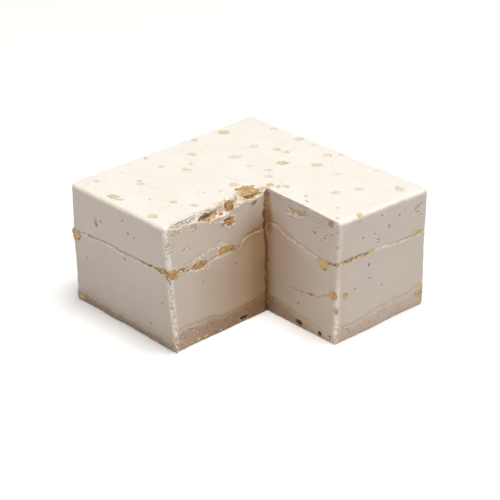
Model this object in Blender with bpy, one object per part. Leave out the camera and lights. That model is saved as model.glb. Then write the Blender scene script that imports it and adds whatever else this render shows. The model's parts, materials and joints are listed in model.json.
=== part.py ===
"""A block of layered nougat with one corner cut out of it, lying on its flat foot.

Three layers run right through the block: a grainy foot, a thick middle and a top layer. The top
and the middle part along a wavy seam that holds chopped nuts, and the long wall of the cut has
crumbled along its upper edge. Nut chips and flakes are fused to the layer they lie in.

Metres, +Z up. The origin is on the surface the block stands on, under the middle of its box.
The cut corner is at +X and -Y. Sizes and places below are in millimetres, and MM turns them into
metres where the shapes are made.
"""

import math
import random

import bmesh
import bpy
from mathutils import Matrix, Vector, noise

MM = 0.001
HEIGHT = 31.5
FOOT_THICKNESS, MIDDLE_THICKNESS, TOP_THICKNESS = 4.0, 16.5, 11.0  # before they are bent
GAP = 0.3  # between two layers, half of it on each side of their seam

# The block was cut by hand, so its top lies a little turned over its foot.
TOP_CORNERS = {
    "front_left": (-29.6, -30.3),
    "cut_front": (4.8, -30.5),
    "cut_inner": (4.3, 1.4),
    "cut_right": (29.6, -0.1),
    "back_right": (31.0, 28.5),
    "back_left": (-30.8, 30.1),
}
FOOT_CORNERS = {
    "front_left": (-31.0, -29.2),
    "cut_front": (6.6, -29.5),
    "cut_inner": (6.4, -0.2),
    "cut_right": (29.2, -0.4),
    "back_right": (29.8, 30.5),
    "back_left": (-30.7, 30.4),
}

# A layer starts as a level slab of this side, made of cells, without those of the cut corner.
SIDE = 60.0
CELLS = 20
CUT_U, CUT_V = 0.6, 0.5  # where the walls of the cut stand, as shares of the block's sides

# Heights of the two seams at even steps along each wall, from its first corner to its second.
WALLS = {
    "front": ("front_left", "cut_front"),
    "cut_long": ("cut_front", "cut_inner"),
    "cut_short": ("cut_inner", "cut_right"),
    "right": ("cut_right", "back_right"),
    "back": ("back_right", "back_left"),
    "left": ("back_left", "front_left"),
}
SEAM_HEIGHTS = {
    "front": (19.2, 19.6, 20.2, 19.7, 20.3, 19.7),
    "cut_long": (19.4, 18.7, 19.4, 19.8, 21.2, 21.4),
    "cut_short": (23.4, 22.3, 21.5, 20.8, 19.6, 19.6),
    "right": (20.7, 21.1, 21.0, 21.4, 20.8, 20.4),
    "back": (20.3, 20.9, 19.8, 20.4, 21.1, 20.2),
    "left": (20.1, 19.6, 20.6, 20.9, 20.1, 19.3),
}
FOOT_HEIGHTS = {
    "front": (2.5, 3.1, 3.2, 2.9, 3.3, 3.6),
    "cut_long": (5.3, 5.2, 4.7, 4.4, 4.3, 4.6),
    "cut_short": (4.3, 4.2, 4.4, 3.7, 3.1, 3.0),
    "right": (3.7, 4.0, 4.2, 4.8, 5.3, 4.4),
    "back": (4.2, 3.6, 4.1, 4.5, 3.8, 3.4),
    "left": (3.3, 3.9, 3.6, 3.0, 3.3, 2.5),
}

# The walls swell and shrink by this much, over waves about this long.
WALL_WAVE = 0.3
WAVE_LENGTH = 11.0
OTHER_WAVE = Vector((37.0, 11.0, 5.0))  # where in the noise the second direction is read
ROUND_EDGE = 0.7
ROUND_STEPS = 2
SHARP_ANGLE = math.radians(50)

# Hollows: the layers each one is cut from, then its middle, its size and its tilt in degrees
# about Y, all by the wall or edge that it opens through.
HOLLOWS = {
    "bowl": (("top_layer",), (2.2, -3.2, 31.8), (6.6, 6.6, 4.6), 0),
    "broken_edge": (("top_layer",), (4.9, -11.3, 31.4), (5.4, 6.2, 4.4), 0),
    "edge_crag": (("top_layer",), (4.9, -17.4, 30.4), (4.4, 6.0, 2.1), 0),
    "edge_crumble": (("top_layer",), (5.3, -25.6, 31.2), (2.2, 9.5, 2.8), 0),
    "lip_crag": (("top_layer",), (5.1, -11.8, 26.7), (2.4, 4.0, 1.7), 0),
    "short_wall_crag": (("top_layer",), (14.8, 0.7, 28.8), (6.8, 2.6, 1.8), -11),
    "right_corner_chip": (("top_layer",), (26.4, 0.0, 30.6), (2.6, 1.6, 1.3), 0),
    "inner_corner_top": (("top_layer",), (4.7, 1.2, 27.5), (1.7, 1.7, 10.5), 0),
    "inner_corner_middle": (("middle_layer",), (5.7, 0.5, 13.0), (1.5, 1.5, 15.5), 0),
    "left_corner_dent": (("top_layer",), (-29.9, -30.2, 21.6), (1.7, 1.7, 1.2), 0),
    "cut_edge_mouth": (("top_layer", "middle_layer"), (6.0, -29.9, 19.6), (4.6, 4.8, 3.2), 0),
    "long_wall_mouth": (("top_layer", "middle_layer"), (5.6, -21.1, 19.2), (2.6, 5.2, 2.8), 0),
    "long_wall_pocket": (("top_layer", "middle_layer"), (5.4, -12.2, 20.5), (2.4, 5.0, 2.6), 0),
    "short_wall_pocket": (("top_layer", "middle_layer"), (25.2, -0.2, 19.4), (4.2, 2.2, 3.4), 0),
    "right_wall_mouth": (("top_layer", "middle_layer"), (30.8, 25.0, 20.9), (2.2, 5.0, 2.6), 0),
    "left_wall_mouth": (("top_layer", "middle_layer"), (-30.0, -29.9, 18.7), (3.4, 2.6, 3.4), 0),
    "short_wall_crack": (("middle_layer",), (20.9, -0.2, 9.9), (8.2, 1.5, 0.8), -4),
    "short_wall_chip": (("middle_layer",), (29.2, -0.4, 8.7), (1.2, 1.2, 1.7), 0),
    "foot_chip": (("foot_layer",), (6.7, -7.5, 1.4), (1.2, 2.2, 1.4), 0),
}

# Nut chips: the layer each one is fused to, its middle and its size.
CHIPS = {
    "bowl_nut": ("top_layer", (2.0, -2.9, 29.8), (3.9, 3.4, 1.9)),
    "broken_edge_nut": ("top_layer", (3.3, -11.0, 29.5), (2.6, 2.8, 3.0)),
    "edge_crag_nut": ("top_layer", (3.2, -17.3, 29.7), (2.6, 4.2, 1.7)),
    "cut_edge_nut": ("middle_layer", (5.0, -28.9, 18.9), (2.9, 2.9, 2.2)),
    "long_wall_nut": ("middle_layer", (4.9, -21.1, 18.7), (1.7, 3.6, 1.6)),
    "long_wall_second_nut": ("middle_layer", (4.8, -12.2, 19.9), (1.5, 3.3, 1.5)),
    "short_wall_nut": ("middle_layer", (25.2, 0.4, 18.9), (2.6, 1.5, 2.0)),
    "right_wall_nut": ("middle_layer", (30.1, 24.4, 20.4), (1.3, 1.6, 1.6)),
    "right_wall_second_nut": ("middle_layer", (30.2, 26.3, 20.3), (1.2, 1.4, 1.3)),
    "left_wall_nut": ("middle_layer", (-29.3, -29.3, 18.1), (2.1, 1.7, 2.1)),
    "crack_nut": ("middle_layer", (27.8, 0.1, 12.4), (1.8, 1.2, 1.8)),
    "right_wall_low_nut": ("middle_layer", (29.4, 2.6, 12.0), (1.0, 1.4, 1.4)),
    "foot_front_nut": ("foot_layer", (6.3, -22.8, 1.4), (1.0, 1.7, 1.1)),
    "foot_short_nut": ("foot_layer", (17.5, 0.0, 1.5), (2.4, 1.1, 1.3)),
    "foot_right_nut": ("foot_layer", (29.6, 27.6, 2.6), (1.1, 2.2, 1.2)),
}

CHIP_ROOM = 0.7  # how much larger than a chip its socket in a neighbouring layer is

# Flakes of nut lie flush in the top, one to a square of this spacing.
FLAKE_SPACING = 8.0
FLAKE_WANDER = 2.4
FLAKE_LENGTHS = (1.6, 3.2)
FLAKE_SLIMNESS = (0.5, 0.85)
FLAKE_THICKNESS = 0.7
FLAKE_SINK = 0.18
EDGE_MARGIN = 2.6
HOLLOW_MARGIN = 3.6
FLAKE_SEED = 7

ROUGH_LUMPS = 0.14  # share of the radius by which a hollow's or a chip's surface goes in or out
HOLLOW_DETAIL, CHIP_DETAIL, FLAKE_DETAIL = 2, 2, 1

CREAM = (0.91, 0.84, 0.73)
MIDDLE_CREAM = (0.86, 0.79, 0.69)
FOOT_BEIGE = (0.62, 0.50, 0.40)


def clear_scene():
    for thing in list(bpy.data.objects):
        bpy.data.objects.remove(thing, do_unlink=True)


def new_collection(name):
    collection = bpy.data.collections.new(name)
    bpy.context.scene.collection.children.link(collection)
    return collection


def sweet_material(name, colour, roughness):
    material = bpy.data.materials.new(name)
    material.use_nodes = True
    shader = material.node_tree.nodes["Principled BSDF"]
    shader.inputs["Base Color"].default_value = (*colour, 1.0)
    shader.inputs["Roughness"].default_value = roughness
    shader.inputs["Metallic"].default_value = 0.0
    return material


def corner_at(name, rise):
    """A corner's place in the plan at a share of the block's height, in millimetres."""
    return Vector(FOOT_CORNERS[name]).lerp(Vector(TOP_CORNERS[name]), rise)


def in_quad(corners, across, along):
    """A point between four corners, given in order round the quad."""
    near = corners[0].lerp(corners[1], across)
    far = corners[3].lerp(corners[2], across)
    return near.lerp(far, along)


def plan_point(u, v, rise):
    """The place of a point of the plan's grid at a share of the block's height.

    The plan is three quads that share edges: the front arm, the back left corner and the
    right arm.
    """
    corner = {name: corner_at(name, rise) for name in TOP_CORNERS}
    west = corner["front_left"].lerp(corner["back_left"], CUT_V)
    north = corner["back_left"].lerp(corner["back_right"], CUT_U)
    inner = corner["cut_inner"]
    along = (v - CUT_V) / (1 - CUT_V)
    if u > CUT_U:
        quad = (inner, corner["cut_right"], corner["back_right"], north)
        return in_quad(quad, (u - CUT_U) / (1 - CUT_U), along)
    if v > CUT_V:
        return in_quad((west, inner, north, corner["back_left"]), u / CUT_U, along)
    quad = (corner["front_left"], corner["cut_front"], inner, west)
    return in_quad(quad, u / CUT_U, v / CUT_V)


def wall_heights(heights):
    """Points along the walls, each with the height of the seam there."""
    points = []
    for wall, (first, second) in WALLS.items():
        start, end = corner_at(first, 0.5), corner_at(second, 0.5)
        steps = heights[wall]
        for index, height in enumerate(steps):
            share = (index + 0.5) / len(steps)
            points.append((start.lerp(end, share), height))
    return points


def height_between(points, place):
    """The seam's height at a place in the plan: the nearer a wall's point is, the more it counts."""
    total = weights = 0.0
    for spot, height in points:
        weight = 1.0 / ((spot - place).length + 0.4) ** 4
        total += weight * height
        weights += weight
    return total / weights


def wavy(place):
    """A place in millimetres, moved sideways as the hand-cut walls swell and shrink."""
    spot = place / WAVE_LENGTH
    push = Vector((noise.noise(spot), noise.noise(spot + OTHER_WAVE), 0.0))
    return place + push * WALL_WAVE


def level_slab(thickness, levels):
    """A level slab with rounded edges: a grid without the cut corner's cells, drawn upwards."""
    slab = bmesh.new()
    bmesh.ops.create_grid(slab, x_segments=CELLS, y_segments=CELLS, size=SIDE / 2)
    bmesh.ops.translate(slab, verts=slab.verts[:], vec=(SIDE / 2, SIDE / 2, 0.0))
    cut = []
    for face in slab.faces:
        middle = face.calc_center_median() / SIDE
        if middle.x > CUT_U and middle.y < CUT_V:
            cut.append(face)
    bmesh.ops.delete(slab, geom=cut, context="FACES")
    sheet = slab.faces[:] + slab.edges[:]
    for _ in range(levels):
        grown = bmesh.ops.extrude_face_region(slab, geom=sheet)["geom"]
        risen = [item for item in grown if isinstance(item, bmesh.types.BMVert)]
        bmesh.ops.translate(slab, verts=risen, vec=(0.0, 0.0, thickness / levels))
        sheet = [item for item in grown if not isinstance(item, bmesh.types.BMVert)]
    bmesh.ops.recalc_face_normals(slab, faces=slab.faces[:])
    outer = [edge for edge in slab.edges if edge.is_convex]
    sharp = [edge for edge in outer if edge.calc_face_angle() > SHARP_ANGLE]
    bmesh.ops.bevel(
        slab, geom=sharp, offset=ROUND_EDGE, segments=ROUND_STEPS, profile=0.5, affect="EDGES"
    )
    return slab


def make_layer(name, underside, upside, thickness, levels, material, collection):
    """One layer: the slab bent between its two seams and out to the walls."""
    slab = level_slab(thickness, levels)
    for vert in slab.verts:
        u, v, share = vert.co.x / SIDE, vert.co.y / SIDE, vert.co.z / thickness
        middle = plan_point(u, v, 0.5)
        low, high = underside(middle), upside(middle)
        height = low + (high - low) * share
        place = plan_point(u, v, height / HEIGHT)
        vert.co = wavy(Vector((place.x, place.y, height))) * MM
    mesh = bpy.data.meshes.new(name)
    slab.to_mesh(mesh)
    slab.free()
    mesh.materials.append(material)
    layer = bpy.data.objects.new(name, mesh)
    collection.objects.link(layer)
    return layer


def make_lump(name, middle, size, tilt, detail, collection):
    """A closed rough lump, for a nut chip or for the hollow that one has left."""
    lump = bmesh.new()
    bmesh.ops.create_icosphere(lump, subdivisions=detail, radius=0.5)
    draw = random.Random(name)
    for vert in lump.verts:
        vert.co *= 1 + draw.uniform(-ROUGH_LUMPS, ROUGH_LUMPS)
    place = Matrix.Translation(Vector(middle) * MM)
    turn = Matrix.Rotation(math.radians(tilt), 4, "Y")
    lump.transform(place @ turn @ Matrix.Diagonal((*(Vector(size) * MM), 1.0)))
    mesh = bpy.data.meshes.new(name)
    lump.to_mesh(mesh)
    lump.free()
    thing = bpy.data.objects.new(name, mesh)
    thing.display_type = "WIRE"
    thing.hide_render = True
    collection.objects.link(thing)
    return thing


def settle(layer):
    """Bakes a layer's modifiers into its mesh."""
    ready = layer.evaluated_get(bpy.context.evaluated_depsgraph_get())
    layer.data = bpy.data.meshes.new_from_object(ready)
    layer.modifiers.clear()


def combine(layer, collection, operation):
    """Cuts a collection's lumps from a layer or fuses them to it, then removes them."""
    if not collection.objects:
        return
    joining = layer.modifiers.new(collection.name, "BOOLEAN")
    joining.operation = operation
    joining.operand_type = "COLLECTION"
    joining.collection = collection
    joining.solver = "MANIFOLD"
    bpy.context.view_layer.update()
    settle(layer)
    for lump in list(collection.objects):
        bpy.data.objects.remove(lump, do_unlink=True)


def room_for_flake(place):
    """Whether a flake fits here, clear of the walls and of the hollows in the top."""
    corners = [corner_at(name, 1.0) for name in TOP_CORNERS]
    inside = False
    for start, end in zip(corners, corners[1:] + corners[:1]):
        side = end - start
        share = min(1.0, max(0.0, (place - start).dot(side) / side.length_squared))
        if (start + side * share - place).length < EDGE_MARGIN:
            return False
        if (start.y > place.y) != (end.y > place.y):
            if place.x < start.x + side.x * (place.y - start.y) / side.y:
                inside = not inside
    for _, middle, size, _ in HOLLOWS.values():
        reaches_top = middle[2] + size[2] / 2 > HEIGHT - 1.0
        if reaches_top and (Vector(middle[:2]) - place).length < HOLLOW_MARGIN:
            return False
    return inside


def scatter_flakes(collection):
    """Thin nut flakes in the top, one to a square, each off its middle by a seeded draw."""
    draw = random.Random(FLAKE_SEED)
    squares = round(SIDE / FLAKE_SPACING)
    for column in range(squares):
        for row in range(squares):
            square = Vector((column + 0.5, row + 0.5)) / squares
            place = (square - Vector((0.5, 0.5))) * SIDE
            place += Vector((draw.uniform(-1, 1), draw.uniform(-1, 1))) * FLAKE_WANDER
            length = draw.uniform(*FLAKE_LENGTHS)
            width = length * draw.uniform(*FLAKE_SLIMNESS)
            if not room_for_flake(place):
                continue
            middle = (place.x, place.y, HEIGHT - FLAKE_SINK)
            size = (length, width, FLAKE_THICKNESS)
            make_lump(f"flake_{column}_{row}", middle, size, 0, FLAKE_DETAIL, collection)


def build():
    clear_scene()
    block = new_collection("nougat")
    seam, foot = wall_heights(SEAM_HEIGHTS), wall_heights(FOOT_HEIGHTS)
    half = GAP / 2
    layers = [
        make_layer(
            "foot_layer",
            lambda place: 0.0,
            lambda place: height_between(foot, place) - half,
            FOOT_THICKNESS,
            1,
            sweet_material("grainy_foot", FOOT_BEIGE, 0.75),
            block,
        ),
        make_layer(
            "middle_layer",
            lambda place: height_between(foot, place) + half,
            lambda place: height_between(seam, place) - half,
            MIDDLE_THICKNESS,
            4,
            sweet_material("middle_nougat", MIDDLE_CREAM, 0.6),
            block,
        ),
        make_layer(
            "top_layer",
            lambda place: height_between(seam, place) + half,
            lambda place: HEIGHT,
            TOP_THICKNESS,
            3,
            sweet_material("top_nougat", CREAM, 0.6),
            block,
        ),
    ]
    for layer in layers:
        hollows = new_collection(f"{layer.name}_hollows")
        chips = new_collection(f"{layer.name}_chips")
        for name, (cut_layers, middle, size, tilt) in HOLLOWS.items():
            if layer.name in cut_layers:
                make_lump(name, middle, size, tilt, HOLLOW_DETAIL, hollows)
        for name, (host, middle, size) in CHIPS.items():
            if layer.name == host:
                make_lump(name, middle, size, 0, CHIP_DETAIL, chips)
            else:
                roomy = [side + CHIP_ROOM for side in size]
                make_lump(name, middle, roomy, 0, CHIP_DETAIL, hollows)
        if layer.name == "top_layer":
            scatter_flakes(chips)
        combine(layer, hollows, "DIFFERENCE")
        combine(layer, chips, "UNION")


build()
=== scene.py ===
# %% [markdown]
# A block of layered nougat with one corner cut out
#
# Nougat is egg white, sugar and honey beaten stiff, with chopped nuts stirred in. This block was
# poured in two pale layers on a grainy foot, left to set and cut by hand. It holds together when
# it is picked up, so it is one thing of three layers, with nut chips in it and crumbs on it.
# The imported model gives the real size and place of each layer. What follows makes a finer mesh
# for each one, then its nuts and crumbs, then the finishes, the light and the camera.

import json
import math
import random

import bmesh
import bpy
import numpy as np
from mathutils import Matrix, Vector, noise
from mathutils.bvhtree import BVHTree
from mathutils.kdtree import KDTree

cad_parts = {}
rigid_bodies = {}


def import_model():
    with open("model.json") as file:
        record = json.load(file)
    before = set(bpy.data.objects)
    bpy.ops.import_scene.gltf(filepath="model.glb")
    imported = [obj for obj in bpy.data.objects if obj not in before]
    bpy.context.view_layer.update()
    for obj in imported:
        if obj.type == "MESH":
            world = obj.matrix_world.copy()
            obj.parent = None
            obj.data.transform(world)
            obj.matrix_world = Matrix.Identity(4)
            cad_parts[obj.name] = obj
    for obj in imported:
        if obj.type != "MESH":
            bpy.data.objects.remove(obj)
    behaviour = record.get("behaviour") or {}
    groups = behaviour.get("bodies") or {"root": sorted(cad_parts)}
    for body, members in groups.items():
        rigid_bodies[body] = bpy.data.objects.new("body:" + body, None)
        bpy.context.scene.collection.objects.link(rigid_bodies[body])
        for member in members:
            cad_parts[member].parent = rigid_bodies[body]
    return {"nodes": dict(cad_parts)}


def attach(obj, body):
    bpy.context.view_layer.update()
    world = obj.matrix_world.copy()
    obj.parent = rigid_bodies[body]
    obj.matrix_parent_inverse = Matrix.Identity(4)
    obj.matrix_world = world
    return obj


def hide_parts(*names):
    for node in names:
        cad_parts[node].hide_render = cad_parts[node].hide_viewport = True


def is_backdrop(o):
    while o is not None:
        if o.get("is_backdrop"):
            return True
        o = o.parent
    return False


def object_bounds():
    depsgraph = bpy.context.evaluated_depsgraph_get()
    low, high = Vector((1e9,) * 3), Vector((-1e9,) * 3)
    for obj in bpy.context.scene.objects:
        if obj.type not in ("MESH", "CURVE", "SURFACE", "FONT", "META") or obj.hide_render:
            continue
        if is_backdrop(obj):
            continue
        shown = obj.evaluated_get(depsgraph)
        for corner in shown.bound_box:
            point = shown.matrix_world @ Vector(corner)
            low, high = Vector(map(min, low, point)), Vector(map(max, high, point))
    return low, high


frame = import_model()
cad_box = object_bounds()
print("layers:", ", ".join(sorted(frame["nodes"])))

# %% [markdown]
# Work in millimetres
#
# Blender's tools are happiest with numbers near one, and a sweet is 60 mm wide. So every shape is
# made in millimetres, and one function scales the finished mesh to metres.

# %% Units and small helpers
MM = 0.001


def new_piece(name, mesh, material):
    """Links a finished mesh to the scene, in metres, with one material."""
    mesh.name = name
    mesh.transform(Matrix.Scale(MM, 4))
    mesh.materials.clear()
    mesh.materials.append(material)
    piece = bpy.data.objects.new(name, mesh)
    bpy.context.scene.collection.objects.link(piece)
    return piece


def positions(mesh):
    """The mesh's vertices as an array with a row for each."""
    flat = np.empty(len(mesh.vertices) * 3)
    mesh.vertices.foreach_get("co", flat)
    return flat.reshape(-1, 3)


def move_to(mesh, places):
    """Puts the mesh's vertices at the places in an array."""
    mesh.vertices.foreach_set("co", places.ravel())
    mesh.update()


NOISE_STRETCH = 1.6  # Blender's own noise stays within about 0.6
# For each layer of the crumbly noise: its strength, how much finer it is, and its shift.
CRUMBLE_LAYERS = ((1.0, 1.0, 0.0), (0.5, 2.1, 7.0), (0.25, 4.3, 13.0))


def ripple(places, size, shift=0.0):
    """Smooth noise from about -1 to 1 at each place, with bumps about this many mm long."""
    spots = places / size + shift
    return np.array([noise.noise(spot) for spot in spots.tolist()]) * NOISE_STRETCH


def crumble(places, size, shift=0.0):
    """Noise with finer and finer bumps laid over each other, as a broken face has."""
    return sum(
        strength * ripple(places, size / finer, shift + further)
        for strength, finer, further in CRUMBLE_LAYERS
    )


print("one unit is", MM, "m")


# %% [markdown]
# The block's plan
#
# The knife was held by hand, so the top lies a little turned over the foot. Both outlines have
# six corners, and each wall is the ruled surface between its top edge and its bottom edge.
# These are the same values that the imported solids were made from.

# %% Corners and walls
HEIGHT = 31.5
TOP_CORNERS = {
    "front_left": (-29.6, -30.3),
    "cut_front": (4.8, -30.5),
    "cut_inner": (4.3, 1.4),
    "cut_right": (29.6, -0.1),
    "back_right": (31.0, 28.5),
    "back_left": (-30.8, 30.1),
}
FOOT_CORNERS = {
    "front_left": (-31.0, -29.2),
    "cut_front": (6.6, -29.5),
    "cut_inner": (6.4, -0.2),
    "cut_right": (29.2, -0.4),
    "back_right": (29.8, 30.5),
    "back_left": (-30.7, 30.4),
}
WALLS = {
    "front": ("front_left", "cut_front"),
    "cut_long": ("cut_front", "cut_inner"),
    "cut_short": ("cut_inner", "cut_right"),
    "right": ("cut_right", "back_right"),
    "back": ("back_right", "back_left"),
    "left": ("back_left", "front_left"),
}
SIDE = 60.0
CUT_U, CUT_V = 0.6, 0.5  # where the walls of the cut stand, as shares of the block's sides
print("block", SIDE, "by", SIDE, "by", HEIGHT, "mm")

# %% Places in the plan
def corner_at(name, rise):
    """A corner's place in the plan at a share of the block's height, or at many of them."""
    rise = np.asarray(rise, float)[..., None]
    return np.array(FOOT_CORNERS[name]) * (1 - rise) + np.array(TOP_CORNERS[name]) * rise


def between(start, end, share):
    """Points a share of the way from one place to another."""
    return start + (end - start) * np.asarray(share)[..., None]


def in_quad(corners, across, along):
    """Points between four corners, given in order round the quad."""
    near = between(corners[0], corners[1], across)
    far = between(corners[3], corners[2], across)
    return between(near, far, along)


def plan_point(u, v, rise):
    """Places in the plan for shares of its sides: three quads that share edges."""
    corner = {name: corner_at(name, rise) for name in TOP_CORNERS}
    west = between(corner["front_left"], corner["back_left"], np.full(len(u), CUT_V))
    north = between(corner["back_left"], corner["back_right"], np.full(len(u), CUT_U))
    inner = corner["cut_inner"]
    along = (v - CUT_V) / (1 - CUT_V)
    right_arm = in_quad(
        (inner, corner["cut_right"], corner["back_right"], north), (u - CUT_U) / (1 - CUT_U), along
    )
    back_left = in_quad((west, inner, north, corner["back_left"]), u / CUT_U, along)
    front_arm = in_quad(
        (corner["front_left"], corner["cut_front"], inner, west), u / CUT_U, v / CUT_V
    )
    left = np.where((v > CUT_V)[:, None], back_left, front_arm)
    return np.where((u > CUT_U)[:, None], right_arm, left)


# %% Hand-cut waves
WALL_WAVE = 0.3
WAVE_LENGTH = 11.0
OTHER_WAVE = (37.0, 11.0, 5.0)


def wavy(places):
    """Places moved sideways as the hand-cut walls swell and shrink."""
    moved = np.array(places, float)
    for axis, shift in ((0, (0.0, 0.0, 0.0)), (1, OTHER_WAVE)):
        spots = np.asarray(places) / WAVE_LENGTH + shift
        moved[:, axis] += WALL_WAVE * np.array([noise.noise(spot) for spot in spots.tolist()])
    return moved


print("walls:", ", ".join(WALLS))

# %% [markdown]
# The camera, and how a pixel finds its place
#
# The block's eleven visible corners gave the camera: a long lens, a little above the block, that
# looks across the cut. The same values turn a pixel of the photograph into a line of sight. Where
# that line meets the top or a wall is the place of a chip, so it sits on the nougat from any side.

# %% Camera
PICTURE = 500
FOCAL = 1544.4  # in pixels of the picture
SENSOR = 36.0
YAW, PITCH = math.radians(46.27), math.radians(26.69)
CAMERA_PLACE = Vector((239.49, -228.945, 180.5))
FORWARD = Vector(
    (-math.sin(YAW) * math.cos(PITCH), math.cos(YAW) * math.cos(PITCH), -math.sin(PITCH))
)
RIGHT = Vector((math.cos(YAW), math.sin(YAW), 0.0))
UP = RIGHT.cross(FORWARD)

camera_data = bpy.data.cameras.new("camera")
camera_data.sensor_width = SENSOR
camera_data.lens = FOCAL * SENSOR / PICTURE
camera_data.clip_start = 0.01
camera = bpy.data.objects.new("camera", camera_data)
camera.location = CAMERA_PLACE * MM
camera.rotation_euler = (math.radians(90) - PITCH, 0.0, YAW)
bpy.context.scene.collection.objects.link(camera)
bpy.context.scene.camera = camera
print("lens", round(camera_data.lens, 1), "mm")

# %% Lines of sight
def sight(x, y):
    """The direction in which the camera sees a pixel."""
    return FORWARD + RIGHT * ((x - PICTURE / 2) / FOCAL) - UP * ((y - PICTURE / 2) / FOCAL)


def on_top(x, y, height=HEIGHT):
    """Where a pixel falls on the top, or on a level plane at another height."""
    ray = sight(x, y)
    return CAMERA_PLACE + ray * ((height - CAMERA_PLACE.z) / ray.z)


def wall_at(wall, height):
    """A wall's two ends at a height, and the level direction out of it."""
    start, end = (Vector(corner_at(name, height / HEIGHT)) for name in WALLS[wall])
    along = (end - start).normalized()
    return start, end, Vector((along.y, -along.x))


SIGHT_ROUNDS = 6  # each round finds the place better, as the walls lean


def on_wall(wall, x, y):
    """Where a pixel falls on a wall."""
    ray = sight(x, y)
    spot = CAMERA_PLACE.copy()
    spot.z = HEIGHT / 2
    for _ in range(SIGHT_ROUNDS):
        start, _, out = wall_at(wall, spot.z)
        reach = (start - CAMERA_PLACE.xy).dot(out) / ray.xy.dot(out)
        spot = CAMERA_PLACE + ray * reach
    return Vector(wavy([spot])[0])


middle_of_picture = on_top(PICTURE / 2, PICTURE / 2)
print("the picture's middle is at", [round(side, 1) for side in middle_of_picture], "mm")

# %% [markdown]
# The seams
#
# A slab of soft nougat doesn't part along a level plane. The seam between the top and the middle
# rises and falls by a few millimetres, and so does the edge of the foot. Each line is written as
# pixels along the walls that show, and as heights at even steps along the two that don't.

# %% Seam lines
SEAM_PIXELS = {
    "front": (
        (78, 231), (91.7, 236.7), (101, 240.5), (111, 244.5), (118, 249), (127, 254),
        (136, 258), (144, 262.5), (151, 266.5), (158, 270), (167, 275),
    ),
    "cut_long": (
        (174, 277), (181, 270), (190, 270.5), (199, 269), (206, 263.5), (213, 259),
        (222, 255.5), (231, 251.5), (240, 247), (243, 240), (247, 235.5), (253.7, 232),
        (259.8, 229.7), (264, 231),
    ),
    "cut_short": (
        (266.5, 219.5), (271.3, 221.7), (277.4, 225.5), (283.6, 232.4), (291.2, 237.7),
        (297.3, 242.3), (303.5, 246.2), (308, 250.7), (315.7, 255), (322, 262),
        (328, 262.5), (334.3, 266), (339, 265.5),
    ),
    "right": (
        (343, 263.5), (349, 260.4), (358, 256.5), (366.5, 253.4), (372, 250.6), (381, 247),
        (392.5, 243.5), (397.4, 242), (403.7, 239.2), (411.4, 236.2), (423, 232),
    ),
}
FOOT_PIXELS = {
    "front": ((78.2, 288.4), (100, 301), (120.7, 313.9), (143, 327), (166.9, 339.4)),
    "cut_long": (
        (181.4, 329.7), (193, 325.5), (205.7, 320.5), (230, 313.5), (247, 305), (264, 296),
    ),
    "cut_short": ((269, 297), (285, 306), (303, 318.8), (318, 330), (332, 338)),
    "right": (
        (340.5, 329.3), (354.6, 323.7), (369.3, 314.6), (378.4, 308.6), (391, 302),
        (400.2, 298.4), (407.2, 295), (412.8, 289.3), (424, 286),
    ),
}
HIDDEN_SEAM = {
    "back": (20.3, 20.9, 19.8, 20.4, 21.1, 20.2),
    "left": (20.1, 19.6, 20.6, 20.9, 20.1, 19.3),
}
HIDDEN_FOOT = {
    "back": (4.2, 3.6, 4.1, 4.5, 3.8, 3.4),
    "left": (3.3, 3.9, 3.6, 3.0, 3.3, 2.5),
}

# %% Seam heights
def seam_points(pixels, hidden):
    """Places along the walls, a row for each: x, y and the seam's height there."""
    rows = []
    for wall, spots in pixels.items():
        rows += [tuple(on_wall(wall, x, y)) for x, y in spots]
    for wall, heights in hidden.items():
        for index, height in enumerate(heights):
            start, end, _ = wall_at(wall, height)
            place = start.lerp(end, (index + 0.5) / len(heights))
            rows.append((*place, height))
    return np.array(rows)


NEAREST, FALL = 0.4, 4  # how far a seam's point holds fully, and how fast its pull falls


def height_between(points, places):
    """A seam's height at places in the plan: the nearer a wall's point is, the more it counts."""
    total = weights = 0.0
    for x, y, height in points:
        apart = np.hypot(places[:, 0] - x, places[:, 1] - y)
        weight = 1.0 / (apart + NEAREST) ** FALL
        total = total + weight * height
        weights = weights + weight
    return total / weights


seam_line = seam_points(SEAM_PIXELS, HIDDEN_SEAM)
foot_line = seam_points(FOOT_PIXELS, HIDDEN_FOOT)
for title, line in (("seam", seam_line), ("foot", foot_line)):
    print(title, "between", line[:, 2].min().round(1), "and", line[:, 2].max().round(1), "mm")


# %% [markdown]
# A fine mesh for each layer
#
# A layer could be modelled face by face, but its surface has to be fine everywhere, because the
# crags and pits are less than a millimetre wide. So each layer starts as a simple L-shaped slab
# with rounded edges, a voxel remesh turns it into small even quads, and only then is it bent
# between its seams. Away from the walls nothing fine shows, so a Decimate modifier with a vertex
# group makes the faces larger there and the piece stays light. The slab's own coordinates say
# how near a point is to an edge, so that the finish can make worn edges paler, partly for their
# crumbs and partly as a painted highlight.

# %% Slabs
FINE = 0.34  # the length of a quad
EDGE_ROUND = 1.0  # round the top
CUT_EDGE_ROUND, CORNER_ROUND = 0.5, 1.5  # the upright edges beside the cut, and the others
SEAM_ROUND = 0.2
UPRIGHT_STEPS, RIM_STEPS = 5, 4
SHARP = 1.0  # an edge that turns by more than this many radians is a rim


def slab_outline():
    """The L of the plan, counter-clockwise, before it is bent."""
    cut_x, cut_y = SIDE * CUT_U, SIDE * CUT_V
    return ((0, 0), (cut_x, 0), (cut_x, cut_y), (SIDE, cut_y), (SIDE, SIDE), (0, SIDE))


# %% Plain and even meshes
def plain_mesh(thing):
    """A mesh of the object as its modifiers show it; the object itself is removed."""
    bpy.context.view_layer.update()
    ready = thing.evaluated_get(bpy.context.evaluated_depsgraph_get())
    mesh = bpy.data.meshes.new_from_object(ready)
    bpy.data.objects.remove(thing, do_unlink=True)
    return mesh


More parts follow.
